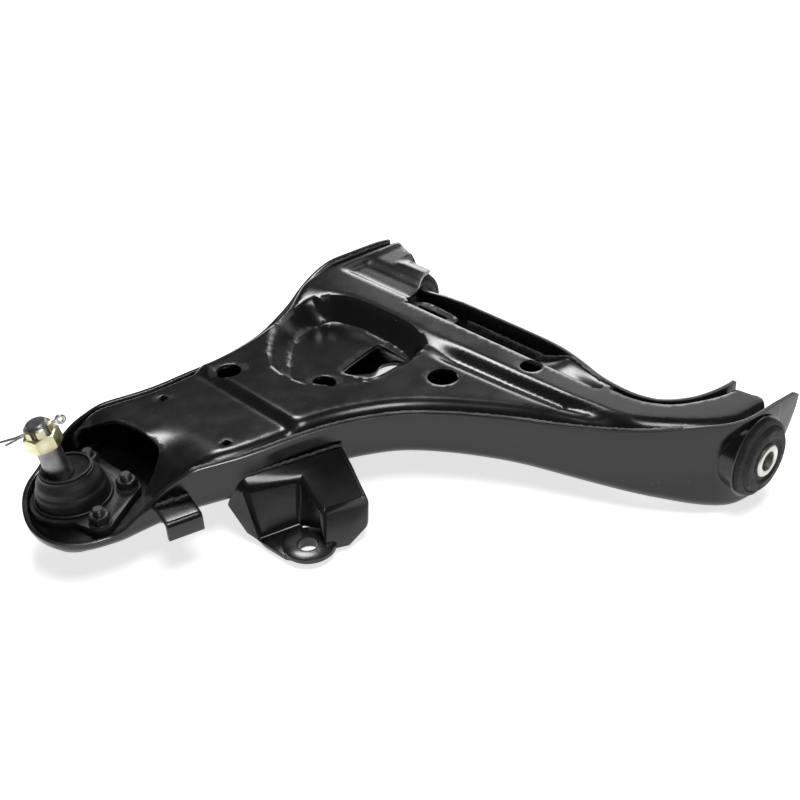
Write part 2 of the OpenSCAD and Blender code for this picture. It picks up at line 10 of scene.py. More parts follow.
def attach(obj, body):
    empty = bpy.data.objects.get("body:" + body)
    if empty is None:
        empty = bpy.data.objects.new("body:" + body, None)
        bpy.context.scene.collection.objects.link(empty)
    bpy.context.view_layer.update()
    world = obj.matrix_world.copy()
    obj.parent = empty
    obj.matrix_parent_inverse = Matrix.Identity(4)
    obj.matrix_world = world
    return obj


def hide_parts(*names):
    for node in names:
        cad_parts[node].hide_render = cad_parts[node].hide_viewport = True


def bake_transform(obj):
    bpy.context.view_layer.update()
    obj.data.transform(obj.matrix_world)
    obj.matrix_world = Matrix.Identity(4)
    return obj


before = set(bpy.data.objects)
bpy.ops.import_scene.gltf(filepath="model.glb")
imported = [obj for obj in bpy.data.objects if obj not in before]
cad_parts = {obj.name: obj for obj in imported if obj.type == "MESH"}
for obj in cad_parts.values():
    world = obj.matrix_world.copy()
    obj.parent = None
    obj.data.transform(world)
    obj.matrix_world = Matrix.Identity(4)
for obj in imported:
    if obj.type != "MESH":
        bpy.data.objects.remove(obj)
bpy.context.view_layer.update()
bpy.ops.object.select_all(action="DESELECT")
MM = 0.001

# ---- plan and side lines of the arm, in millimetres ----------------------------------------
# Origin at the front bush, +X out to the ball joint, +Y to the rear, +Z up.
FRONT_EDGE = [(-36, -27), (0, -31), (45, -34), (72, -29), (95, -16), (120, -3), (145, 8),
              (170, 13), (199, 15), (215, 13), (245, 12), (265, 8), (281, 3), (296, 1),
              (309, 0), (324, 1), (343, 5)]
TIP_EDGE = [(360, 15), (374.5, 33), (385.2, 58), (387, 78), (381.4, 97), (368, 109), (350, 115)]
NEAR_EDGE = [(320, 118), (296, 121), (275, 129), (252, 137), (215, 144), (186, 153),
             (162, 166), (146, 178), (130, 196), (114, 218), (99, 242), (87, 267), (74, 292),
             (62, 315), (46, 337), (30, 354), (13, 364), (-3, 366.5), (-21, 367), (-50, 367)]
CHASSIS_EDGE = [(-36.6, 328), (-15, 327), (5, 320), (20, 308), (27, 292), (28, 275), (25, 252),
                (18, 232), (11, 205), (10, 165), (10, 75), (9, 55), (2, 40), (-10, 31)]
SHEET = 3.2
REAR_Y = 347.0
SEAT_R = 26.75
BUSH_SEATS = [(-4, 90), (356, 88)]      # middle and length of each, along the pivot axis
BALL = np.array([345.0, 53.0, -17.0])


def ease(a, b, x):
    """Smooth step from 0 at a to 1 at b."""
    t = np.clip((np.asarray(x, float) - a) / (b - a), 0, 1)
    return t * t * (3 - 2 * t)


def ramp(t, k=0.2):
    """Straight ramp from 0 to 1 with a rounded foot and a rounded head."""
    t = np.clip(t, 0, 1)
    m = 1 / (1 - k)
    low = m * t * t / (2 * k)
    high = 1 - m * (1 - t) ** 2 / (2 * k)
    mid = m * (t - k / 2)
    return np.where(t < k, low, np.where(t > 1 - k, high, mid))


def cut_corners(points, times, closed=True):
    """Rounds an outline by cutting its corners."""
    p = np.array(points, float)
    for _ in range(times):
        q = np.roll(p, -1, axis=0)
        if closed:
            p = np.stack([p * 0.75 + q * 0.25, p * 0.25 + q * 0.75], 1).reshape(-1, p.shape[1])
        else:
            a, b = p[:-1], p[1:]
            inner = np.stack([a * 0.75 + b * 0.25, a * 0.25 + b * 0.75], 1)
            p = np.vstack([p[:1], inner.reshape(-1, p.shape[1]), p[-1:]])
    return p


def evenly(points, step, closed=False):
    """The same line with points at an even spacing."""
    p = np.array(points, float)
    if closed:
        p = np.vstack([p, p[:1]])
    s = np.r_[0, np.cumsum(np.linalg.norm(np.diff(p, axis=0), axis=1))]
    n = max(2, int(round(s[-1] / step)) + 1)
    t = np.linspace(0, s[-1], n)
    q = np.stack([np.interp(t, s, p[:, i]) for i in range(p.shape[1])], 1)
    return q[:-1] if closed else q


def sideways(line, d):
    """An open line moved to its left by d, all along."""
    p = np.array(line, float)
    t = np.gradient(p, axis=0)
    t /= np.linalg.norm(t, axis=1, keepdims=True)
    return p + d * np.stack([-t[:, 1], t[:, 0]], 1)


def distance(points, line):
    """Distance from each point to an open line."""
    a, b = line[:-1], line[1:]
    ab = b - a
    out = np.full(len(points), 1e9)
    for i in range(len(a)):
        t = np.clip(((points - a[i]) @ ab[i]) / max(1e-9, ab[i] @ ab[i]), 0, 1)
        out = np.minimum(out, np.linalg.norm(points - a[i] - t[:, None] * ab[i], axis=1))
    return out


def inside(points, loop):
    """True for points inside a closed loop."""
    x, y = points[:, 0], points[:, 1]
    hit = np.zeros(len(points), bool)
    for (x0, y0), (x1, y1) in zip(loop, np.roll(loop, -1, axis=0)):
        if y0 != y1:
            over = (y0 > y) != (y1 > y)
            hit ^= over & (x < (x1 - x0) * (y - y0) / (y1 - y0) + x0)
    return hit


def depth_in(points, loop):
    """Distance outside a closed loop, and 0 inside it."""
    d = distance(points, np.vstack([loop, loop[:1]]))
    return np.where(inside(points, loop), 0, d)


def fillet(d, r):
    """Drop of a rolled border at distance d from its outer line, for a bend of radius r."""
    return np.where(d < r, r - np.sqrt(np.maximum(0, r * r - (r - np.minimum(d, r)) ** 2)), 0)


def circle(cx, cy, r, n=40):
    a = np.linspace(0, 2 * math.pi, n, endpoint=False)
    return np.stack([cx + r * np.cos(a), cy + r * np.sin(a)], 1)


# ---- mesh tools ----------------------------------------------------------------------------
def made(name, points, faces):
    """A mesh object from points in millimetres."""
    mesh = bpy.data.meshes.new(name)
    mesh.from_pydata([tuple(p) for p in np.asarray(points, float) * MM], [], faces)
    mesh.update()
    piece = bpy.data.objects.new(name, mesh)
    bpy.context.scene.collection.objects.link(piece)
    return piece


def choose(piece):
    bpy.ops.object.select_all(action="DESELECT")
    piece.select_set(True)
    bpy.context.view_layer.objects.active = piece


def finished_by(piece, kind, **settings):
    """Adds one modifier and applies it."""
    choose(piece)
    mod = piece.modifiers.new(kind.title(), kind)
    for key, value in settings.items():
        setattr(mod, key, value)
    bpy.ops.object.modifier_apply(modifier=mod.name)


def softened(piece, width, segments=2, angle=35):
    """Rounds the sharp edges a little and shades the rest smooth."""
    finished_by(piece, "BEVEL", width=width * MM, segments=segments, limit_method="ANGLE",
                angle_limit=math.radians(angle), harden_normals=False)
    shaded(piece)


def shaded(piece, angle=35):
    choose(piece)
    bpy.ops.object.shade_smooth_by_angle(angle=math.radians(angle))


def cut_by(piece, cutter):
    """Takes the cutter's space out of the piece and removes the cutter."""
    finished_by(piece, "BOOLEAN", operation="DIFFERENCE", object=cutter, solver="EXACT")
    bpy.data.objects.remove(cutter)


def outward(piece):
    choose(piece)
    bpy.ops.object.mode_set(mode="EDIT")
    bpy.ops.mesh.select_all(action="SELECT")
    bpy.ops.mesh.remove_doubles(threshold=0.002 * MM)
    bpy.ops.mesh.normals_make_consistent(inside=False)
    bpy.ops.object.mode_set(mode="OBJECT")


def aimed(centre, axis):
    """Matrix that stands local +Z along axis at a centre given in millimetres."""
    turn = Vector((0, 0, 1)).rotation_difference(Vector(axis)).to_matrix().to_4x4()
    return Matrix.Translation(Vector(centre) * MM) @ turn


def turned(name, profile, centre=(0, 0, 0), axis=(0, 0, 1), steps=96, closed=True):
    """A lathe part: a profile of (radius, height) spun round its axis."""
    n = len(profile)
    edges = [(i, i + 1) for i in range(n - 1)] + ([(n - 1, 0)] if closed else [])
    mesh = bpy.data.meshes.new(name)
    mesh.from_pydata([(r * MM, 0, h * MM) for r, h in profile], edges, [])
    piece = bpy.data.objects.new(name, mesh)
    bpy.context.scene.collection.objects.link(piece)
    choose(piece)
    bpy.ops.object.mode_set(mode="EDIT")
    bpy.ops.mesh.select_all(action="SELECT")
    bpy.ops.mesh.spin(steps=steps, angle=2 * math.pi, center=(0, 0, 0), axis=(0, 0, 1))
    bpy.ops.object.mode_set(mode="OBJECT")
    outward(piece)
    piece.data.transform(aimed(centre, axis))
    shaded(piece, 30)
    return piece


def copied(name, node, width=0.0, segments=2):
    """A copy of a CAD node with merged points and softly broken edges."""
    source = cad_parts[node]
    piece = bpy.data.objects.new(name, source.data.copy())
    bpy.context.scene.collection.objects.link(piece)
    piece.data.materials.clear()
    choose(piece)
    bpy.ops.object.mode_set(mode="EDIT")
    bpy.ops.mesh.select_all(action="SELECT")
    bpy.ops.mesh.remove_doubles(threshold=0.004 * MM)
    bpy.ops.mesh.dissolve_limited(angle_limit=math.radians(1.0))
    bpy.ops.object.mode_set(mode="OBJECT")
    if width:
        softened(piece, width, segments)
    else:
        shaded(piece)
    return piece


def joined(name, pieces):
    bpy.ops.object.select_all(action="DESELECT")
    for p in pieces:
        p.select_set(True)
    bpy.context.view_layer.objects.active = pieces[0]
    bpy.ops.object.join()
    pieces[0].name = name
    return pieces[0]


def sheet_points(loop, lines, holes, step):
    """Triangle net of a flat region: its outline, guide lines, holes and an even filling."""
    pts, edges = [], []

    def add(line, closed):
        first = len(pts)
        pts.extend(map(tuple, line))
        edges.extend((first + i, first + i + 1) for i in range(len(line) - 1))
        if closed:
            edges.append((first + len(line) - 1, first))

    add(loop, True)
    for line in lines:
        add(line, False)
    for hole in holes:
        add(hole, True)
    fixed = np.array(pts)
    lo, hi = loop.min(0), loop.max(0)
    xs = np.arange(lo[0], hi[0], step)
    ys = np.arange(lo[1], hi[1], step * 0.87)
    net = np.array([(x + (j % 2) * step / 2, y) for j, y in enumerate(ys) for x in xs])
    net = net[inside(net, loop)]
    near = np.full(len(net), 1e9)
    for i in range(0, len(fixed), 200):
        block = fixed[i:i + 200]
        near = np.minimum(near, np.linalg.norm(net[:, None] - block[None], axis=2).min(1))
    pts.extend(map(tuple, net[near > step * 0.55]))
    out = delaunay_2d_cdt([Vector(p) for p in pts], edges, [], 0, 1e-5)
    v = np.array([tuple(p) for p in out[0]])
    f = np.array([t for t in out[2] if len(t) == 3])
    mid = v[f].mean(1)
    keep = inside(mid, loop)
    for hole in holes:
        keep &= ~inside(mid, hole)
    f = f[keep]
    used = np.unique(f)
    index = -np.ones(len(v), int)
    index[used] = np.arange(len(used))
    v, f = v[used], index[f]
    a, b, c = v[f[:, 0]], v[f[:, 1]], v[f[:, 2]]
    area = (b[:, 0] - a[:, 0]) * (c[:, 1] - a[:, 1]) - (b[:, 1] - a[:, 1]) * (c[:, 0] - a[:, 0])
    f[area < 0] = f[area < 0][:, ::-1]
    return v, f


def edge_of(faces):
    """Directed edges that belong to one face only."""
    seen = {}
    for f in faces:
        for i in range(len(f)):
            a, b = f[i], f[(i + 1) % len(f)]
            if (b, a) in seen:
                del seen[(b, a)]
            else:
                seen[(a, b)] = True
    return list(seen)


def seat_bushes(piece):
    """Clears the two bush shells' seats through a pressing."""
    for y, length in BUSH_SEATS:
        bpy.ops.mesh.primitive_cylinder_add(vertices=72, radius=SEAT_R * MM, depth=length * MM,
                                            location=(0, y * MM, 0),
                                            rotation=(math.pi / 2, 0, 0))
        cut_by(piece, bpy.context.object)
    shaded(piece, 38)


# ---- upper pressing ------------------------------------------------------------------------
front_line = cut_corners(FRONT_EDGE, 2, False)
near_line = cut_corners([(343, 116.5), *NEAR_EDGE], 2, False)
gap_in = SHEET + 0.4


def cropped(line, x_low, x_high):
    """The part of a line between two values of x."""
    keep = (line[:, 0] > x_low) & (line[:, 0] < x_high)
    return line[keep]


# The sheet's outline runs anticlockwise: front side, mouth, wheel side, rear leg, gutter.
top_front = cropped(evenly(sideways(front_line, gap_in), 3), -31, 318)
top_near = cropped(evenly(sideways(near_line, gap_in), 3), -17, 316)
MOUTH = cut_corners([tuple(top_front[-1]), (314, 8.5), (308, 16), (300, 26), (292, 34), (289, 44),
                     (288.5, 60), (287.5, 74), (290, 83), (299, 90), (310, 95), (318, 100),
                     (320, 107), tuple(top_near[0])], 2, False)
REAR_END = [tuple(top_near[-1]), (-21, 357), (-22, 349), (-20.5, 335)]
LEG_IN = cut_corners([(-20, 332), (-8, 330), (8, 322.5), (22, 314), (31, 300), (34.5, 286),
                      (34, 272)], 2, False)
RIDGE_BACK = [(40, 262), (40, 70)]
GUTTER_END = [(38, 64), (30, 61), (22, 59)]
SADDLE_END = cut_corners([(14, 54), (4, 47), (-9, 42), (-16.5, 38), (-17.5, 32), (-20, 14),
                          (-26, -4), (-30, -14), tuple(top_front[0])], 1, False)


def chained(*lines):
    """One closed loop from lines laid end to end."""
    pts = np.vstack([np.array(line, float) for line in lines])
    keep = [0]
    for i in range(1, len(pts)):
        if np.linalg.norm(pts[i] - pts[keep[-1]]) > 0.3:
            keep.append(i)
    return pts[keep]


leg_in = evenly(LEG_IN, 2.5)
ridge_back = evenly(RIDGE_BACK, 2.5)
top_loop = chained(top_front, evenly(MOUTH, 2.5), top_near, evenly(REAR_END, 2.5), leg_in,
                   [(34, 268), (36, 263.5)], ridge_back, evenly(GUTTER_END, 2.5),
                   evenly(SADDLE_END, 2.5))
# Rolled borders: the line, its bend radius and how far the skirt hangs below the bend.
ROLLS = [(top_front, 9.0, 6.0), (top_near, 11.0, 5.0), (ridge_back, 5.0, 8.0),
         (leg_in, 5.0, 8.0)]
POCKET = cut_corners([(77, 27), (90, 16), (112, 18), (134, 34), (160, 62), (166, 80), (165, 99),
                      (155, 114), (140, 123), (118, 128), (92, 124), (80, 112), (75, 85)], 3)
WINDOW = cut_corners([(85, 78), (127.5, 86.5), (131, 91), (129, 99), (121, 112.5), (116, 115),
                      (87, 114), (84.5, 111), (83, 81)], 1)
TOP_HOLES = [circle(202, 45, 9.5), circle(101, 169, 11.5), circle(51, 210, 8.5),
             circle(150, 91, 9.5), evenly(WINDOW, 2, True),
             evenly([(251, 30), (257, 31), (256, 37), (250, 36)], 1.2, True),
             evenly([(254, 111), (260, 112), (259, 118), (253, 117)], 1.2, True)]


def top_height(p):
    """Height of the upper pressing's outer face over plan points, without its borders."""
    x, y = p[:, 0], p[:, 1]
    at = [-30, -18, 4, 25, 31, 86, 131, 150, 210, 256, 281, 300]
    x0 = np.interp(y, at, [76, 74, 70, 66, 65, 64, 63, 63, 62, 61, 58, 56])
    x1 = np.interp(y, at, [112, 109, 100, 86, 82, 80, 78, 78, 75, 71, 66, 64])
    web = 26.5 - 2.5 * ease(-30, 6, y) * (1 - ease(10, 60, y)) * (1 - ease(105, 150, x))
    groove = 3.6 * ease(128, 160, y) * (1 - ease(255, 290, y))
    z = 30 + (web - groove - 30) * ramp((x - x0) / (x1 - x0), 0.3)
    z = z + groove * ramp((x - x1) / 9.0, 0.25)
    wall = np.where(x < 84, 13, np.interp(y, [20, 60, 100, 128], [17, 16, 10, 9]))
    z = z - 15 * (1 - ramp(depth_in(p, POCKET) / wall, 0.16))
    z = z - 5 * ramp((x - 208.5) / 9.5, 0.2)
    z = z - 12 * ease(290, 322, x) ** 1.2 - 9 * ease(60, 94, y) * ease(262, 308, x)
    # the ridge turns along the front side, and the saddle dips behind it
    dip = ease(-17, -7, y) * (1 - ease(60, 74, y)) * ease(3, 17, x) * (1 - ease(31, 40, x))
    z = z - 3.4 * dip - 1.0 * ease(-17, -9, y) * (1 - ease(3, 14, x)) * (1 - ease(60, 74, y))
    # the front leg wraps down over the bush behind its fold
    w = np.where(x < 0, ease(9, 18, y) * (1 - ease(120, 130, y)), 0)
    r = np.clip(-np.minimum(x, 0), 0, 24)
    z = z * (1 - w) + w * np.sqrt(30.0 ** 2 - r ** 2)
    return z


def top_surface(p):
    z = top_height(p)
    for line, r, _ in ROLLS:
        z = z - fillet(distance(p, line), r)
    return z


def upper_pressing():
    guides = []
    for line, r, _ in ROLLS:
        for a in (12, 27, 43, 60, 78):
            guides.append(evenly(sideways(line, r * (1 - math.cos(math.radians(a)))), 4)[1:-1])
    for d, step in ((0.0, 3.0), (4.0, 3.2), (12.0, 3.5)):
        t = np.roll(POCKET, -1, axis=0) - np.roll(POCKET, 1, axis=0)
        t /= np.linalg.norm(t, axis=1, keepdims=True)
        ring = POCKET + d * np.stack([t[:, 1], -t[:, 0]], 1)
        guides.append(evenly(np.vstack([ring, ring[:1]]), step)[:-1])
    v, f = sheet_points(top_loop, guides, TOP_HOLES, 3.4)
    z = top_surface(v)
    points = np.c_[v, z]
    faces = [tuple(t) for t in f]
    low = {}
    hang = np.zeros(len(v))
    on_roll = np.zeros(len(v), bool)
    for line, r, skirt in ROLLS:
        near = distance(v, line) < 0.05
        on_roll |= near
        hang = np.where(near, skirt, hang)
    extra = []
    for a, b in edge_of(faces):
        if on_roll[a] and on_roll[b]:
            for i in (a, b):
                if i not in low:
                    low[i] = len(points) + len(extra)
                    extra.append(points[i] - (0, 0, hang[i]))
            faces.append((b, a, low[a], low[b]))
    piece = made("upper_pressing", np.vstack([points, extra]), faces)
    finished_by(piece, "SOLIDIFY", thickness=SHEET * MM, offset=-1, use_quality_normals=True)
    softened(piece, 0.45, 2, 55)
    seat_bushes(piece)
    return piece


# ---- lower pressing ------------------------------------------------------------------------
BELLY = [(-40, -42), (0, -42), (14, -41), (30, -37.5), (46, -33), (62, -29), (74, -26),
         (87, -22), (99, -19.5), (113, -17.5), (129, -16), (150, -14.6), (400, -14.4)]
WALL_TOP = [(-50, 28), (-47, 28), (-20, 31), (36, 31), (50, 28), (62, 24.5), (75, 21.5),
            (95, 19.5), (290, 19.5), (312, 13), (330, 3), (348, -5), (420, -5)]
low_front = evenly(front_line, 3)
low_near = evenly(near_line, 3)
tip_line = evenly(cut_corners([tuple(low_front[-1]), *TIP_EDGE, tuple(low_near[0])], 2, False), 3)
chassis_line = evenly(cut_corners(CHASSIS_EDGE, 2, False), 2.5)


def eased_table(table, x, spread=7):
    """A table of (x, z) read at x with its corners rounded."""
    grid = np.arange(-70, 440, 1.0)
    z = np.interp(grid, [p[0] for p in table], [p[1] for p in table])
    k = np.ones(spread * 2 + 1) / (spread * 2 + 1)
    z = np.convolve(np.pad(z, spread, mode="edge"), k, mode="valid")
    return np.interp(x, grid, z)


def belly_height(p):
    return eased_table(BELLY, p[:, 0], 9)


CORNER = 8.6
FLOOR_WINDOW = cut_corners([(106, 61), (98, 64), (90, 68), (82, 69), (74, 65), (67, 59), (58, 56.5),
                            (48, 57), (42, 64), (42, 78), (50, 98), (68, 112), (92, 112), (110, 98),
                            (114, 76)], 2)
BOLT_SPOTS = [(39.5, 85.5), (36.5, 149), (38.5, 223)]


def bolt_place(spot):
    a = math.radians(spot[1])
    return BALL + spot[0] * np.array([math.cos(a), math.sin(a), 0])


FLOOR_X = -28.0
EAR_Y = 367.0


def lower_pressing():
    front = np.vstack([[(FLOOR_X, front_line[0, 1] - 0.9)], cropped(low_front, FLOOR_X + 1.5, 400)])
    near = np.vstack([cropped(low_near, FLOOR_X + 1.5, 400), [(FLOOR_X, EAR_Y)]])
    back = np.vstack([[(FLOOR_X, 327.6)], cropped(chassis_line, FLOOR_X + 1.5, 400)])
    front_back = evenly([tuple(back[-1]), (-12, 30.2)], 2)
    loop = chained(front, tip_line, near, evenly([(FLOOR_X, 366), (FLOOR_X, 329)], 3), back,
                   evenly([(-11, 29), (FLOOR_X, 27.5), (FLOOR_X, -24)], 3))
    holes = [evenly(FLOOR_WINDOW, 3, True), circle(200, 80, 16), circle(BALL[0], BALL[1], 23.5, 56)]
    for spot in BOLT_SPOTS:
        holes.append(circle(*bolt_place(spot)[:2], 4.3, 20))
    walls = [front, tip_line, near, back, front_back]
    wall = np.vstack([front, tip_line, near])
    sides = [wall, back]
    guides = []
    for line in sides:
        for a in (15, 32, 50, 70, 90):
            guides.append(evenly(sideways(line, CORNER * (1 - math.cos(math.radians(a)))), 4)[1:-1])
    v, f = sheet_points(loop, guides, holes, 4.2)
    z = belly_height(v)
    on_wall = np.zeros(len(v), bool)
    for line in sides:
        d = distance(v, line)
        z = z + fillet(d, CORNER)
        on_wall |= d < 0.05
    points = np.c_[v, z]
    faces = [tuple(t[::-1]) for t in f]
    is_back = distance(v, back) < 0.05
    top = eased_table(WALL_TOP, v[:, 0], 6)
    back_top = np.interp(v[:, 1], [31, 45, 58, 68, 80, 100, 300, 320, 328],
                         [22, 22, 23, 24.5, 26.5, 28, 28, 29.5, 31])
    top = np.where(is_back, back_top, top)
    rows = 5
    extra, lift = [], {}
    for a, b in edge_of(faces):
        if on_wall[a] and on_wall[b]:
            for i in (a, b):
                if i not in lift:
                    lift[i] = [i]
                    for k in range(1, rows + 1):
                        lift[i].append(len(points) + len(extra))
                        t = k / rows
                        extra.append((v[i, 0], v[i, 1], points[i, 2] * (1 - t) + top[i] * t))
            for k in range(rows):
                faces.append((lift[b][k], lift[a][k], lift[a][k + 1], lift[b][k + 1]))
    points = list(map(tuple, points)) + extra
    # Cheeks of the legs beyond the end of the floor: the front side, the rear ear and its inner side.
    ear = np.r_[np.linspace(FLOOR_X, -36.6, 6), -39, -42, -45, -48, -50]
    for y, xs in ((None, np.linspace(FLOOR_X, -36.8, 7)), (EAR_Y, ear),
                  (327.6, np.linspace(FLOOR_X, -36.4, 6))):
        first = len(points)
        for x in xs:
            yy = y if y is not None else float(np.interp(x, front_line[:, 0], front_line[:, 1]))
            low = -42 * math.sqrt(max(0.0, 1 - (x / 37) ** 2)) if x > -36.5 else \
                float(np.interp(x, [-50, -47.5, -42, -36.5], [24.5, 14, 3, -6]))
            high = float(np.interp(x, [-50, -47, -20], [26, 28, 31])) if y == EAR_Y else \
                float(np.interp(x, [-36.8, -20], [7, 31]))
            for k in range(5):
                points.append((x, yy, low + (high - low) * k / 4))
        for i in range(len(xs) - 1):
            for k in range(4):
                a, b = first + i * 5 + k, first + (i + 1) * 5 + k
                q = (a, b, b + 1, a + 1)
                faces.append(q if y == EAR_Y else q[::-1])
    piece = made("lower_pressing", points, faces)
    finished_by(piece, "SOLIDIFY", thickness=SHEET * MM, offset=-1, use_quality_normals=True)
    softened(piece, 0.5, 2, 60)
    seat_bushes(piece)
    return piece


# ---- welds ---------------------------------------------------------------------------------
def weld_run(name, path, r, seed, lumps=0.35):
    """A hand-laid bead: overlapping scales of uneven width along a path."""
    path = evenly(path, 0.9)
    t = np.gradient(path, axis=0)
    t /= np.linalg.norm(t, axis=1, keepdims=True)
    side = np.stack([t[:, 1], -t[:, 0], np.zeros(len(t))], 1)
    side /= np.maximum(1e-6, np.linalg.norm(side, axis=1, keepdims=True))
    up = np.cross(side, t)
    sides, points = 12, []
    for i, p in enumerate(path):
        beat = 0.9 * i + 1.5 * noise.noise(Vector((i * 0.15, seed, 0)))
        scale = 0.92 + 0.10 * abs(math.sin(beat / 2.6 * math.pi))
        end = min(1.0, (min(i, len(path) - 1 - i) + 0.4) / 2.5) ** 0.5
        for k in range(sides):
            a = 2 * math.pi * k / sides
            q = p + r * (math.cos(a) * side[i] + math.sin(a) * up[i])
            bump = noise.noise(Vector(q) * 0.45 + Vector((seed, 0, 0))) \
                + 0.5 * noise.noise(Vector(q) * 1.3 + Vector((0, seed, 0)))
            rr = r * end * (scale + lumps * bump)
            points.append(p + rr * (math.cos(a) * side[i] + math.sin(a) * up[i]))
    faces = []
    n = len(path)
    for i in range(n - 1):
        for k in range(sides):
            a, b = i * sides + k, i * sides + (k + 1) % sides
            faces.append((a, b, b + sides, a + sides))
    faces.append(tuple(reversed(range(sides))))
    faces.append(tuple((n - 1) * sides + k for k in range(sides)))
    piece = made(name, points, faces)
    outward(piece)
    shaded(piece, 60)
    return piece


def near_at(x):
    order = np.argsort(near_line[:, 0])
    return float(np.interp(x, near_line[order, 0], near_line[order, 1]))


def front_at(x):
    return float(np.interp(x, front_line[:, 0], front_line[:, 1]))


def along_near(x, inset):
    """Point on the wheel side at x, moved inwards."""
    slope = (near_at(x + 3) - near_at(x - 3)) / 6
    s = math.sqrt(1 + slope * slope)
    return np.array([x + slope / s * inset, near_at(x) - inset / s])


# ---- upper pressing and lower pressing -----------------------------------------------------
upper = upper_pressing()
lower = lower_pressing()

near_path = [(*along_near(x, 4.0), float(eased_table(WALL_TOP, x, 6)) - 0.7)
             for x in np.arange(44, 293, 4)]
near_weld = weld_run("near_weld_run", near_path, 1.55, 3.0)
front_path = [(x, front_at(x) + 3.8, float(eased_table(WALL_TOP, x, 6)) - 2.6)
              for x in np.arange(-27, 66, 4)]
front_weld = weld_run("front_weld_run", front_path, 1.7, 8.0)

# Gutter behind the ridge: a sloping flange closes the box to the chassis-side wall.
def chassis_at(y):
    """Inner face of the chassis-side wall at y."""
    return float(np.interp(y, chassis_line[::-1, 1], chassis_line[::-1, 0])) + SHEET


def gutter_rise(y):
    """How far the flange climbs towards the rear leg."""
    return 13.0 * float(ease(188, 226, y))


def gutter_flange():
    pts, faces = [], []
    stations = np.linspace(63, 270, 52)
    for y in stations:
        for t in np.linspace(0, 1, 7):
            wave = 0.4 * noise.noise(Vector((y * 0.05, t * 2, 0)))
            z = 20.5 + (gutter_rise(y) - 7.0) * float(ease(0, 1, t)) + wave
            pts.append((40.5 + (chassis_at(y) - 40.5) * t, y, z))
    for i in range(len(stations) - 1):
        for k in range(6):
            a = i * 7 + k
            faces.append((a, a + 7, a + 8, a + 1))
    piece = made("gutter_flange", pts, faces)
    finished_by(piece, "SOLIDIFY", thickness=2.4 * MM, offset=0)
    softened(piece, 0.3)
    return piece


gutter = gutter_flange()
gutter_path = [(chassis_at(y) + 0.9, y, 14.6 + gutter_rise(y)) for y in np.arange(110, 262, 4)]
gutter_weld = weld_run("gutter_weld_run", gutter_path, 1.3, 21.0, 0.6)


def gutter_clip():
    """Slotted clip that lies against the ridge in the gutter."""
    outline = cut_corners([(22, 63), (38.5, 63), (38.5, 110), (33, 112), (22, 110)], 1)
    slot = evenly(cut_corners([(27, 69), (32, 69), (32, 103), (27, 103)], 1), 2, True)
    v, f = sheet_points(evenly(outline, 2.5, True), [], [slot], 4)
    z = 20.5 + 1.6 * ease(33, 37, v[:, 0]) + 1.2 * ease(26, 23, v[:, 0])
    piece = made("gutter_clip", np.c_[v, z], [tuple(t) for t in f])
    finished_by(piece, "SOLIDIFY", thickness=2.2 * MM, offset=-1)
    softened(piece, 0.4)
    return piece


clip = gutter_clip()


# ---- link bracket and stop tab -------------------------------------------------------------
BRACKET_PLACE = (222.5, 144.1, -16)     # x, y and turn in degrees
TAB_PLACE = (311, 119.2, -14)


def on_wall(points, x, y, turn):
    """Points given along, out of and up the wall, placed on the arm."""
    a = math.radians(turn)
    p = np.asarray(points, float)
    return np.stack([x + p[:, 0] * math.cos(a) - p[:, 1] * math.sin(a),
                     y + p[:, 0] * math.sin(a) + p[:, 1] * math.cos(a), p[:, 2]], 1)


def link_bracket():
    """Folded bracket: a shelf with an apron, a three-cornered web, a steep panel and a floor."""
    pts = [(-37, -1, 3.5), (0.5, -1, 4.6), (39.0, -1, 5.0),                  # 0-2 on the wall
           (-37, 12, -2.0), (1.5, 11, -4.5), (39.5, 6.5, -3.0),              # 3-5 first bend
           (-37, 42, -18.5), (-29, 43, -13.8), (-0.5, 43, -13.5),            # 6-8 fold of apron
           (-31.6, 50.2, -30.7), (-13.4, 54.2, -39.5), (3.0, 52.5, -38.5),   # 9-11 foot of apron
           (1.8, 45.8, -25.0), (7.5, 17.3, -36.8), (37.5, 17.2, -36.8),      # 12-14
           (45.5, -1, -2.0), (51.5, -1, -15.9), (44, 10.5, -35.5),           # 15-17 end cheek
           (37, 26, -37.4), (30, 45, -37.4), (22.5, 52, -37.4),              # 18-20 floor
           (-37, -1, -12), (-37, 26, -22),                                   # 21-22 far cheek
           (22.5, 33, -37.4), (9.5, 29, -37.2)]                              # 23-24 floor
    faces = [(0, 1, 4, 3), (1, 2, 5, 4), (3, 4, 8, 7, 6), (4, 5, 14, 13), (6, 7, 8, 12, 11, 10, 9),
             (4, 13, 12, 8), (2, 15, 5), (5, 15, 16, 17, 14), (13, 14, 18, 19, 20, 23, 24),
             (0, 3, 22, 21), (3, 6, 9, 22)]
    faces = [tuple(reversed(f)) for f in faces]
    piece = made("link_bracket_folded", on_wall(pts, *BRACKET_PLACE), faces)
    outward_hint(piece)
    finished_by(piece, "BEVEL", width=3.2 * MM, segments=4, limit_method="ANGLE",
                angle_limit=math.radians(14))
    finished_by(piece, "SOLIDIFY", thickness=3.4 * MM, offset=-1, use_even_offset=True,
                thickness_clamp=1.0)
    softened(piece, 0.5, 2, 50)
    return piece


def outward_hint(piece):
    """Turns an open skin so that its faces look up and away from the wall."""
    choose(piece)
    bpy.ops.object.mode_set(mode="EDIT")
    bpy.ops.mesh.select_all(action="SELECT")
    bpy.ops.mesh.normals_make_consistent(inside=False)
    bpy.ops.object.mode_set(mode="OBJECT")
    up = sum(p.normal.z * p.area for p in piece.data.polygons)
    if up < 0:
        choose(piece)
        bpy.ops.object.mode_set(mode="EDIT")
        bpy.ops.mesh.select_all(action="SELECT")
        bpy.ops.mesh.flip_normals()
        bpy.ops.object.mode_set(mode="OBJECT")


bracket = link_bracket()
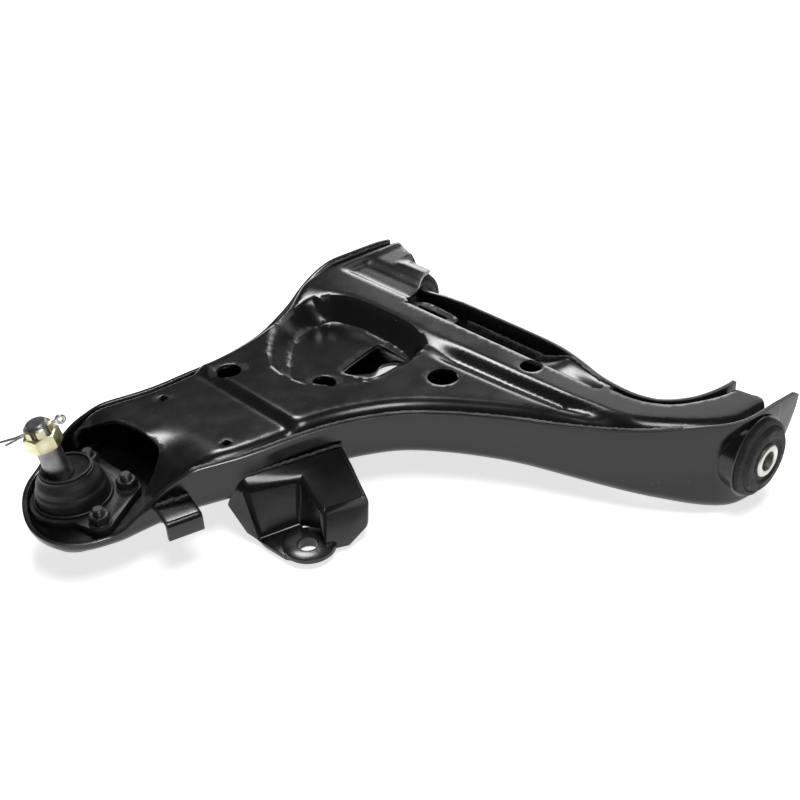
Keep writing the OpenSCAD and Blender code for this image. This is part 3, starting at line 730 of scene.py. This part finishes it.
# The hole sits a little off the middle of its round end, so the rim is shifted after turning.
eye_at = on_wall([(12.3, 43.1, -34.8)], *BRACKET_PLACE)[0]
disc_at = on_wall([(11.1, 43.1, -34.8)], *BRACKET_PLACE)[0]
EYE_PROFILE = [(7.0, -0.6), (7.6, 0), (17.3, 0), (18.2, -0.5), (18.5, -1.4), (18.5, -3.1),
               (18.0, -3.7), (10.2, -3.8), (9.8, -8.2), (9.2, -8.7), (7.6, -8.7), (7.0, -8.1)]
eye = turned("link_eye_disc", EYE_PROFILE, eye_at, (0, 0, 1), 72)
for v in eye.data.vertices:
    away = max(0.0, (Vector((v.co.x, v.co.y)) / MM - Vector(eye_at[:2])).length - 12) / 6.5
    v.co.x += (disc_at[0] - eye_at[0]) * min(1, away) * MM
    v.co.y += (disc_at[1] - eye_at[1]) * min(1, away) * MM
bracket_path = [(x, 0.7, 4.6 + 0.3 * math.sin(x)) for x in np.arange(-37, 40, 3)]
bracket_weld = weld_run("bracket_weld_run", on_wall(bracket_path, *BRACKET_PLACE), 1.1, 14.0, 0.5)


def stop_tab():
    """Bent strip welded to the wall, with a rounded fold."""
    line = [(-2.4, 2.0), (6, 2.0), (13, 2.0), (19.4, 2.0)] + [
        (19.4 + 2.6 * math.sin(t), -0.6 + 2.6 * math.cos(t)) for t in np.linspace(0.3, 1.5, 5)] + [
        (22, -4.0), (22, -10.0)]
    pts, faces = [], []
    stations = np.linspace(-15.5, 9.5, 9)
    for x in stations:
        for y, z in line:
            pts.append((x, y, z))
    m = len(line)
    for i in range(len(stations) - 1):
        for k in range(m - 1):
            a = i * m + k
            faces.append((a, a + m, a + m + 1, a + 1))
    piece = made("stop_tab_strip", on_wall(pts, *TAB_PLACE), faces)
    outward_hint(piece)
    finished_by(piece, "SOLIDIFY", thickness=3.6 * MM, offset=0)
    softened(piece, 0.6, 2, 50)
    return piece


tab = stop_tab()
tab_path = [(x, 0.9, 4.2) for x in np.arange(-15, 9.6, 2)]
tab_weld = weld_run("tab_weld_run", on_wall(tab_path, *TAB_PLACE), 1.6, 31.0, 0.6)


# ---- bushes --------------------------------------------------------------------------------
def bush_parts(tag, y, front, ring, face, lip, collar):
    """Shell and rubber: front and ring end the shell, face ends the rubber, collar is its rim."""
    half = 26.7
    shell = [(half - 2, front), (half, front), (half, ring - 2.4), (half + lip * 0.6, ring - 2.0),
             (half + lip, ring - 1.2), (half + lip, ring - 0.4), (half + lip * 0.8, ring),
             (half - 2, ring)]
    tube = turned(tag + "_bush_tube", shell, (0, y, 0), (0, 1, 0), 96)
    rings = [(11.86, front - 5), (19.5, front - 5), (24.6, front - 1), (24.6, ring + 0.1),
             (collar, ring + 0.1), (collar, ring + 1.0), (collar - 0.7, ring + 1.5),
             (collar - 0.9, ring + 2.1), (collar - 0.2, ring + 2.8), (collar - 0.4, ring + 3.9),
             (collar - 2.0, ring + 4.7), (collar - 3.2, ring + 4.9), (collar - 3.9, ring + 4.2),
             (collar - 4.6, ring + 4.9), (collar - 5.6, face - 0.4), (collar - 7.0, face),
             (17.4, face), (16.6, face - 0.5), (15.6, face - 1.5), (11.86, face - 1.7)]
    rubber = turned(tag + "_bush_rubber_block", rings, (0, y, 0), (0, 1, 0), 128)
    for v in rubber.data.vertices:
        q = Vector((v.co.x, 0, v.co.z)) / MM
        if 19 < q.length < collar + 0.2 and v.co.y / MM > y + ring + 0.5:
            a = math.atan2(q.z, q.x)
            v.co.y += 0.22 * MM * noise.noise(Vector((a * 9, q.length * 0.6, y)))
    return tube, rubber


front_tube, front_rubber = bush_parts("front", 0, -33, 33.2, 39.4, 0.0, 26.1)
rear_tube, rear_rubber = bush_parts("rear", REAR_Y, -25, 369.2 - REAR_Y, 30.4, 3.3, 28.0)


def sleeve(name, y, length):
    h = length / 2
    profile = [(7.1, -h + 0.5), (7.6, -h), (11.0, -h), (11.8, -h + 0.8), (11.8, h - 0.8), (11.0, h),
               (10.9, h), (10.4, h - 0.12), (9.9, h), (8.9, h), (8.5, h - 0.1), (8.1, h), (7.6, h),
               (7.1, h - 0.5)]
    return turned(name, profile, (0, y, 0), (0, 1, 0), 96)


front_sleeve = sleeve("front_sleeve_turned", 0, 80)
rear_sleeve = sleeve("rear_sleeve_turned", REAR_Y, 62)

# ---- ball joint ----------------------------------------------------------------------------
STUD_AXIS = Vector((0.1461682, -0.1226497, 0.9816272))
stud_turn = aimed(BALL, STUD_AXIS)
housing = copied("ball_joint_body", "ball_joint_housing", 0.5, 2)
cap = copied("ball_joint_cap", "housing_cap", 0.4, 2)


def boot():
    """Rubber boot with a flared foot, one fold and a lip that follows the stud."""
    outer = [(10.35, 24.8), (11.2, 25.0), (13.6, 25.0), (14.6, 24.7), (17.0, 24.9), (19.0, 24.7),
             (20.6, 24.2), (21.6, 23.3), (22.1, 22.9), (22.7, 22.8), (25.0, 22.7), (26.8, 22.1),
             (28.5, 21.0), (30.4, 19.5), (31.6, 18.7), (32.4, 18.6), (33.1, 18.4), (33.4, 17.6)]
    inner = [(33.3, 16.2), (32.8, 15.5), (30.0, 12.5), (28.6, 10.4), (28.5, 9.6), (26.3, 9.6),
             (25.5, 17.5), (23.5, 19.6), (20.0, 20.4), (17.0, 21.8), (10.35, 22.2)]
    rings, n = outer + inner, 96
    d = math.radians(-40)
    pts = []
    for h, r in rings:
        t = math.radians(float(np.interp(r, [10, 15.5], [11, 2])) if 26 < h < 33 and r < 16
                         else 2 * float(ease(12, 30, h)))
        for k in range(n):
            a = 2 * math.pi * k / n
            rr = r + 0.10 * noise.noise(Vector((math.cos(a) * 2, math.sin(a) * 2, h * 0.3)))
            x, y = rr * math.cos(a), rr * math.sin(a)
            u, w = x * math.cos(t) + h * math.sin(t), h * math.cos(t) - x * math.sin(t)
            pts.append((BALL[0] + u * math.cos(d) - y * math.sin(d),
                        BALL[1] + u * math.sin(d) + y * math.cos(d), BALL[2] + w))
    faces = []
    m = len(rings)
    for i in range(m):
        for k in range(n):
            a, b = i * n + k, i * n + (k + 1) % n
            c, e = ((i + 1) % m) * n + k, ((i + 1) % m) * n + (k + 1) % n
            faces.append((a, b, e, c))
    piece = made("ball_joint_boot", pts, faces)
    outward(piece)
    shaded(piece, 50)
    return piece


dust_boot = boot()


def threaded(name, r, low, high, pitch, tip, centre, axis, steps=48):
    """A stretch of thread with a chamfered end, cut as close rings."""
    prof = [(0, low), (r, low)]
    h = low + pitch / 2
    while h < high - pitch:
        prof += [(r, h), (r - pitch * 0.5, h + pitch * 0.45), (r, h + pitch * 0.9)]
        h += pitch
    prof += [(r - 0.1, high - tip), (r - tip * 0.9, high), (0, high)]
    return turned(name, prof, centre, axis, steps, False)


SHANK_PROFILE = [(0, 8), (7.6, 8), (7.6, 24), (9.0, 29), (9.0, 33), (8.2, 54), (7.75, 54.5),
                 (7.75, 64), (0, 64)]
BALL_PROFILE = [(13.5 * math.cos(a), 13.5 * math.sin(a)) for a in np.linspace(-math.pi / 2, 0.97, 30)]
BALL_PROFILE += [(7.4, 11.4), (0, 11.4)]
PIN_H = 68.1
stud_shank = turned("stud_shank", SHANK_PROFILE, BALL, STUD_AXIS, 72, False)
stud_ball = turned("stud_ball", BALL_PROFILE, BALL, STUD_AXIS, 72, False)
stud_thread = threaded("stud_thread", 7.78, 63.0, 73.6, 1.5, 1.2, BALL, STUD_AXIS, 64)
PIN_DIR = math.radians(-17)
pin_hole_axis = stud_turn.to_3x3() @ Vector((math.cos(PIN_DIR), math.sin(PIN_DIR), 0))
pin_at = stud_turn @ Vector((0, 0, PIN_H * MM))
bpy.ops.mesh.primitive_cylinder_add(vertices=32, radius=1.65 * MM, depth=40 * MM)
drill = bpy.context.object
drill.data.transform(aimed(pin_at / MM, pin_hole_axis))
cut_by(stud_thread, drill)
shaded(stud_thread, 30)
stud_piece = joined("ball_stud_turned", [stud_shank, stud_ball, stud_thread])
nut = copied("castle_nut_plated", "castle_nut", 0.35, 2)


def split_pin():
    """Bent half-round wire: an eye on one side and two legs on the other."""
    turn = stud_turn @ Matrix.Translation((0, 0, PIN_H * MM)) @ Matrix.Rotation(PIN_DIR, 4, "Z")
    parts = []
    # each leg's height, bend in degrees, length past the bend and droop
    for side, bend, length, droop in ((0.62, -24, 24, 0.06), (-0.62, -12, 9, 0.18)):
        path = [(-13.2, 0, side), (-10, 0, side), (0, 0, side), (12, 0, side), (14.5, -0.2, side)]
        a = math.radians(bend)
        for s in np.linspace(2, length, 7):
            path.append((14.8 + s * math.cos(a), s * math.sin(a), side - droop * s))
        path = evenly(np.array(path), 0.8)
        t = np.gradient(path, axis=0)
        t /= np.linalg.norm(t, axis=1, keepdims=True)
        pts, faces, n = [], [], 12
        for i, p in enumerate(path):
            s = np.cross(t[i], (0, 0, 1.0))
            s /= np.linalg.norm(s)
            u = np.cross(s, t[i])
            last = 0.75 if i in (0, len(path) - 1) else 1.0
            for k in range(n):
                ang = 2 * math.pi * k / n
                dz = math.sin(ang) * 0.62
                pts.append(p + last * (math.cos(ang) * 1.35 * s + dz * u))
        for i in range(len(path) - 1):
            for k in range(n):
                a0, b0 = i * n + k, i * n + (k + 1) % n
                faces.append((a0, b0, b0 + n, a0 + n))
        faces.append(tuple(reversed(range(n))))
        faces.append(tuple((len(path) - 1) * n + k for k in range(n)))
        leg = made("pin_leg", pts, faces)
        outward(leg)
        shaded(leg, 50)
        leg.data.transform(turn)
        parts.append(leg)
    bpy.ops.mesh.primitive_torus_add(major_radius=2.6 * MM, minor_radius=1.25 * MM, major_segments=40,
                                     minor_segments=14)
    eye_ring = bpy.context.object
    upright = Matrix.Rotation(math.pi / 2, 4, "X")
    eye_ring.data.transform(turn @ Matrix.Translation((-15.5 * MM, 0, 0)) @ upright)
    shaded(eye_ring, 60)
    parts.append(eye_ring)
    return joined("split_pin_wire", parts)


pin = split_pin()

# Flange fasteners: each of the three is made at its own turn.
FLANGE_TOP = -6.7
places = [bolt_place(spot) for spot in BOLT_SPOTS]


def hex_prism(name, af, low, high, chamfer, turn):
    """Hexagon af across its flats, with its upper corners turned away."""
    bpy.ops.mesh.primitive_cylinder_add(vertices=6, radius=af / 2 / math.cos(math.pi / 6) * MM,
                                        depth=(high - low) * MM)
    body = bpy.context.object
    body.name = name
    middle = Matrix.Translation((0, 0, (low + high) / 2 * MM))
    body.data.transform(Matrix.Rotation(turn, 4, "Z") @ middle)
    limit = turned("limit", [(0, low - 1), (af / 2 + 2.8, low - 1), (af / 2 + 3, high - chamfer - 1.2),
                             (af / 2 - 0.35, high + 0.001), (0, high + 0.001)],
                   steps=72, closed=False)
    finished_by(body, "BOOLEAN", operation="INTERSECT", object=limit, solver="EXACT")
    bpy.data.objects.remove(limit)
    return body


def flange_nut(turn):
    body = hex_prism("nut_body", 13, 0.1, 7.5, 1.2, turn)
    washer = turned("nut_collar", [(4.05, 0.05), (7.9, 0.05), (8.0, 0.5), (7.6, 1.1), (6.6, 1.5),
                                   (4.05, 1.6)], steps=48)
    bpy.ops.mesh.primitive_cylinder_add(vertices=32, radius=4.04 * MM, depth=30 * MM)
    cut_by(body, bpy.context.object)
    softened(body, 0.25, 2, 30)
    return joined("nut", [body, washer])


nuts, bolts = [], []
for i, (place, turn) in enumerate(zip(places, (0.3, 0.9, 0.1))):
    one = flange_nut(turn)
    x, y = place[:2]
    one.data.transform(Matrix.Translation(Vector((x, y, FLANGE_TOP + 0.02)) * MM))
    nuts.append(one)
    rod = threaded("bolt_rod", 3.98, -15.2, FLANGE_TOP + 11.7, 1.25, 0.9, (x, y, 0), (0, 0, 1), 32)
    head = hex_prism("bolt_head", 13, -19.9, -14.6, 0.2, turn)
    softened(head, 0.4, 2, 30)
    head.data.transform(Matrix.Translation(Vector((x, y, 0)) * MM))
    bolts.append(joined("bolt", [rod, head]))
nuts = joined("flange_nuts_hex", nuts)
bolts = joined("flange_bolts_threaded", bolts)


# ---- materials -----------------------------------------------------------------------------
def hue(text):
    """sRGB hex to linear colour."""
    c = [int(text[i:i + 2], 16) / 255 for i in (0, 2, 4)]
    return tuple(v / 12.92 if v <= 0.04045 else ((v + 0.055) / 1.055) ** 2.4 for v in c) + (1.0,)


def put(tree, kind, inputs=None, **settings):
    """Adds a node with its settings, and values or links for its inputs by name or number."""
    n = tree.nodes.new(kind)
    for key, value in settings.items():
        setattr(n, key, value)
    for key, value in (inputs or {}).items():
        if isinstance(value, bpy.types.NodeSocket):
            tree.links.new(value, n.inputs[key])
        else:
            n.inputs[key].default_value = value
    return n


def blank(name):
    mat = bpy.data.materials.new(name)
    mat.use_nodes = True
    mat.node_tree.nodes.clear()
    return mat, mat.node_tree


def grain(tree, mm, detail=2.0, rough=0.5, stretch=None):
    """Noise whose cells are about mm wide on the real part."""
    at = put(tree, "ShaderNodeTexCoord").outputs["Object"]
    if stretch:
        at = put(tree, "ShaderNodeMapping", {"Vector": at, "Scale": stretch}).outputs["Vector"]
    n = put(tree, "ShaderNodeTexNoise", {"Vector": at, "Scale": 1000 / mm, "Detail": detail,
                                         "Roughness": rough})
    return n.outputs["Fac"]


def between(tree, value, low, high, out_low=0.0, out_high=1.0):
    """A value spread from low..high onto out_low..out_high."""
    return put(tree, "ShaderNodeMapRange", {"Value": value, "From Min": low, "From Max": high,
                                            "To Min": out_low, "To Max": out_high}).outputs["Result"]


def blended(tree, factor, a, b):
    """Colour a turned into colour b by a factor; 6, 7 and 2 are the node's colour sockets."""
    return put(tree, "ShaderNodeMix", {0: factor, 6: a, 7: b}, data_type="RGBA").outputs[2]


def times(tree, a, b):
    return put(tree, "ShaderNodeMath", {0: a, 1: b}, operation="MULTIPLY").outputs[0]


def raised(tree, height, mm, strength=1.0, over=None):
    inputs = {"Height": height, "Distance": mm * MM, "Strength": strength}
    if over is not None:
        inputs["Normal"] = over
    return put(tree, "ShaderNodeBump", inputs).outputs["Normal"]


def finish_with(tree, **inputs):
    """Ends a material: the surface's inputs are given with _ for each space."""
    named = {key.replace("_", " "): value for key, value in inputs.items()}
    shader = put(tree, "ShaderNodeBsdfPrincipled", named)
    put(tree, "ShaderNodeOutputMaterial", {"Surface": shader.outputs["BSDF"]})


def electrocoat(name, base, high, dust=0.10, rough=(0.27, 0.42), peel=0.02):
    """Black dip coat baked on pressed steel: satin, with a faint orange peel, dust and specks."""
    mat, t = blank(name)
    cloud = grain(t, 38, 3.0, 0.6)
    fine = grain(t, 2.2, 3.0, 0.6)
    colour = blended(t, between(t, cloud, 0.35, 0.7), hue(base), hue(high))
    normal = put(t, "ShaderNodeNewGeometry").outputs["Normal"]
    up = put(t, "ShaderNodeSeparateXYZ", {"Vector": normal}).outputs["Z"]
    film = times(t, between(t, up, 0.3, 1.0), between(t, grain(t, 16, 4.0, 0.7), 0.45, 0.85))
    colour = blended(t, times(t, film, dust), colour, hue("8d8b84"))
    specks = between(t, grain(t, 1.3, 1.0, 0.4), 0.785, 0.81)
    sparse = between(t, grain(t, 30, 2.0, 0.5), 0.52, 0.68)
    colour = blended(t, times(t, times(t, specks, sparse), 0.55), colour, hue("c9c7c0"))
    edge = between(t, put(t, "ShaderNodeNewGeometry").outputs["Pointiness"], 0.52, 0.60)
    colour = blended(t, times(t, edge, 0.16), colour, hue("77777a"))
    r = between(t, grain(t, 24, 4.0, 0.65), 0.3, 0.75, rough[0], rough[1])
    wave = raised(t, grain(t, 21, 2.0, 0.4), 0.16, 0.6)
    skin = raised(t, fine, peel, 1.0, wave)
    finish_with(t, Base_Color=colour, Roughness=r, Normal=skin)
    return mat


coat = electrocoat("black_electrocoat", "08090a", "0d0e10", dust=0.03, rough=(0.18, 0.27))
weld_coat = electrocoat("electrocoat_over_weld", "191a1a", "3a3a38", 0.5, (0.3, 0.6), 0.12)
weld_scale = electrocoat("scuffed_weld_scale", "242422", "6b6963", 0.85, (0.3, 0.6), 0.15)
forged = electrocoat("black_phosphate_forging", "101112", "1c1d1d", 0.14, (0.42, 0.6), 0.06)
fastener = electrocoat("dark_phosphate_fastener", "17181a", "26272a", 0.10, (0.3, 0.48), 0.02)


def moulded_rubber(name, base, high, rough=(0.55, 0.75), dusty=0.2, pits=0.05):
    """Black moulded rubber: matt, bloomed grey in patches, with a fine mould texture."""
    mat, t = blank(name)
    colour = blended(t, between(t, grain(t, 9, 4.0, 0.7), 0.38, 0.72), hue(base), hue(high))
    bloom = between(t, grain(t, 1.6, 3.0, 0.7), 0.6, 0.78)
    colour = blended(t, times(t, bloom, dusty), colour, hue("8a8880"))
    r = between(t, grain(t, 7, 3.0, 0.6), 0.3, 0.7, rough[0], rough[1])
    skin = raised(t, grain(t, 0.9, 3.0, 0.7), pits, 1.0)
    finish_with(t, Base_Color=colour, Roughness=r, Normal=skin)
    return mat


boot_rubber = moulded_rubber("neoprene_boot", "161718", "232425", (0.42, 0.56), 0.12, 0.02)
bush_rubber = moulded_rubber("natural_rubber_bush", "121212", "232221", (0.6, 0.8), 0.45, 0.12)


def bare_metal(name, low, high, rough, rings=None, stain=0.15):
    """Bare or plated steel: cloudy tone, tool marks round the axis where it was turned."""
    mat, t = blank(name)
    colour = blended(t, between(t, grain(t, 6, 4.0, 0.6), 0.35, 0.7), hue(low), hue(high))
    spots = between(t, grain(t, 2.0, 3.0, 0.7), 0.6, 0.8)
    colour = blended(t, times(t, spots, stain), colour, hue("4a4640"))
    r = between(t, grain(t, 3.0, 3.0, 0.6), 0.3, 0.7, rough[0], rough[1])
    if rings:
        marks = grain(t, 0.35, 2.0, 0.5, rings)
        skin = raised(t, marks, 0.02, 0.8)
    else:
        skin = raised(t, grain(t, 0.6, 2.0, 0.5), 0.015, 0.8)
    finish_with(t, Base_Color=colour, Roughness=r, Normal=skin, Metallic=1.0)
    return mat


sleeve_steel = bare_metal("turned_sleeve_steel", "b9b8b3", "dcdbd6", (0.34, 0.5), (0.05, 1, 0.05))
stud_steel = bare_metal("ground_stud_steel", "77777a", "9b9b9a", (0.34, 0.48), (0.05, 0.05, 1))
pin_steel = bare_metal("bright_pin_wire", "c3c3c0", "e2e2de", (0.25, 0.4))
zinc = bare_metal("yellow_zinc_plate", "cfc79c", "f0ead0", (0.33, 0.5), None, 0.1)


def liner():
    """Acetal ball liner: cream, slightly see-through, smooth from the mould."""
    mat, t = blank("acetal_liner")
    colour = blended(t, between(t, grain(t, 5, 3.0, 0.6), 0.35, 0.7), hue("d8d4c4"), hue("e6e2d6"))
    finish_with(t, Base_Color=colour, Roughness=between(t, grain(t, 2, 2.0, 0.5), 0.3, 0.7, 0.35, 0.5),
                Normal=raised(t, grain(t, 0.8, 2.0, 0.5), 0.01, 0.5))
    return mat


acetal = liner()

# ---- riding, replacing and finishes --------------------------------------------------------
PIECES = [
    (upper, "arm", coat, "coated_steel", ["upper_shell"]),
    (lower, "arm", coat, "coated_steel", ["lower_shell", "rear_horn"]),
    (near_weld, "arm", weld_scale, "coated_steel", ["near_weld_bead"]),
    (front_weld, "arm", weld_coat, "coated_steel", ["front_weld_bead"]),
    (gutter, "arm", coat, "coated_steel", []),
    (gutter_weld, "arm", weld_coat, "coated_steel", []),
    (clip, "arm", coat, "coated_steel", ["back_wall_strip"]),
    (bracket, "arm", coat, "coated_steel", ["link_bracket"]),
    (eye, "arm", coat, "coated_steel", ["link_bracket_eye"]),
    (bracket_weld, "arm", weld_coat, "coated_steel", []),
    (tab, "arm", coat, "coated_steel", ["stop_tab"]),
    (tab_weld, "arm", weld_coat, "coated_steel", []),
    (front_tube, "arm", coat, "coated_steel", ["front_bush_housing"]),
    (rear_tube, "arm", coat, "coated_steel", ["rear_bush_housing"]),
    (front_rubber, "arm", bush_rubber, "rubber", ["front_bush_rubber"]),
    (rear_rubber, "arm", bush_rubber, "rubber", ["rear_bush_rubber"]),
    (front_sleeve, "front_sleeve", sleeve_steel, "sleeve_steel", ["front_inner_sleeve"]),
    (rear_sleeve, "rear_sleeve", sleeve_steel, "sleeve_steel", ["rear_inner_sleeve"]),
    (housing, "arm", forged, "housing_steel", ["ball_joint_housing"]),
    (cap, "arm", forged, "housing_steel", ["housing_cap"]),
    (stud_piece, "stud", stud_steel, "stud_steel", ["ball_stud"]),
    (nut, "stud", zinc, "yellow_zinc", ["castle_nut"]),
    (pin, "stud", pin_steel, "pin_steel", ["cotter_pin"]),
    (nuts, "arm", fastener, "fastener_steel", ["flange_nuts"]),
    (bolts, "arm", fastener, "fastener_steel", ["flange_bolts"]),
]
for piece, body, mat, slot, stands_for in PIECES:
    piece.data.materials.clear()
    piece.data.materials.append(mat)
    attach(piece, body)
    if stands_for:
        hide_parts(*stands_for)

dust_boot.data.materials.clear()
dust_boot.data.materials.append(boot_rubber)
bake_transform(dust_boot)
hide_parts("dust_boot")

# The parts that stay as they come from the CAD frame get a finish too.
CARRIED_OVER = {"ball_seat": acetal, "preload_washer": stud_steel, "boot_clamp_ring": fastener,
                "boot_lip_ring": forged}
for name, mat in CARRIED_OVER.items():
    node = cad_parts[name]
    for s in node.material_slots:
        s.material = mat
    if not node.material_slots:
        node.data.materials.append(mat)

# ---- floor, light and camera ---------------------------------------------------------------
bpy.ops.mesh.primitive_plane_add(size=8, location=(0.15, 0.15, -0.0445))
floor = bpy.context.object
floor.name = "floor"
fmat, ft = blank("pale_floor")
finish_with(ft, Base_Color=hue("f4f4f3"), Roughness=0.9, Emission_Color=hue("ffffff"),
            Emission_Strength=0.72)
floor.data.materials.append(fmat)

world = bpy.data.worlds.new("studio")
world.use_nodes = True
world.node_tree.nodes["Background"].inputs[0].default_value = (1, 1, 1, 1)
world.node_tree.nodes["Background"].inputs[1].default_value = 0.10
bpy.context.scene.world = world


def softbox(name, at, aim, size, power):
    """A square area light that looks at a point."""
    data = bpy.data.lights.new(name, "AREA")
    data.shape, data.size, data.energy = "SQUARE", size, power
    lamp = bpy.data.objects.new(name, data)
    bpy.context.scene.collection.objects.link(lamp)
    lamp.location = at
    lamp.rotation_mode = "QUATERNION"
    lamp.rotation_quaternion = (Vector(aim) - Vector(at)).to_track_quat("-Z", "Y")


softbox("key_softbox", (-0.16, -0.60, 1.16), (0.11, 0.19, 0), 0.36, 8.5)
softbox("fill_softbox", (0.36, 0.62, 1.20), (0.13, 0.17, 0), 0.42, 7)
softbox("far_side_softbox", (-1.30, -0.30, 0.95), (0.05, 0.2, 0), 1.1, 4.2)
softbox("backdrop_softbox", (-1.35, -1.05, 0.42), (0.10, 0.2, 0), 0.75, 7)

camera = bpy.data.objects.new("camera", bpy.data.cameras.new("camera"))
bpy.context.scene.collection.objects.link(camera)
camera.data.lens, camera.data.sensor_width = 54.81, 36
camera.data.clip_start, camera.data.clip_end = 0.01, 50
right = Vector((-0.72573726, 0.68645844, -0.04560961))
up = Vector((-0.39753673, -0.36432905, 0.84215729))
back = right.cross(up)
camera.matrix_world = Matrix.Translation((0.62641695, 0.70991303, 0.48854353)) @ Matrix((
    (right.x, up.x, back.x, 0), (right.y, up.y, back.y, 0), (right.z, up.z, back.z, 0), (0, 0, 0, 1)))
bpy.context.scene.camera = camera
bpy.context.scene.view_settings.view_transform = "Standard"
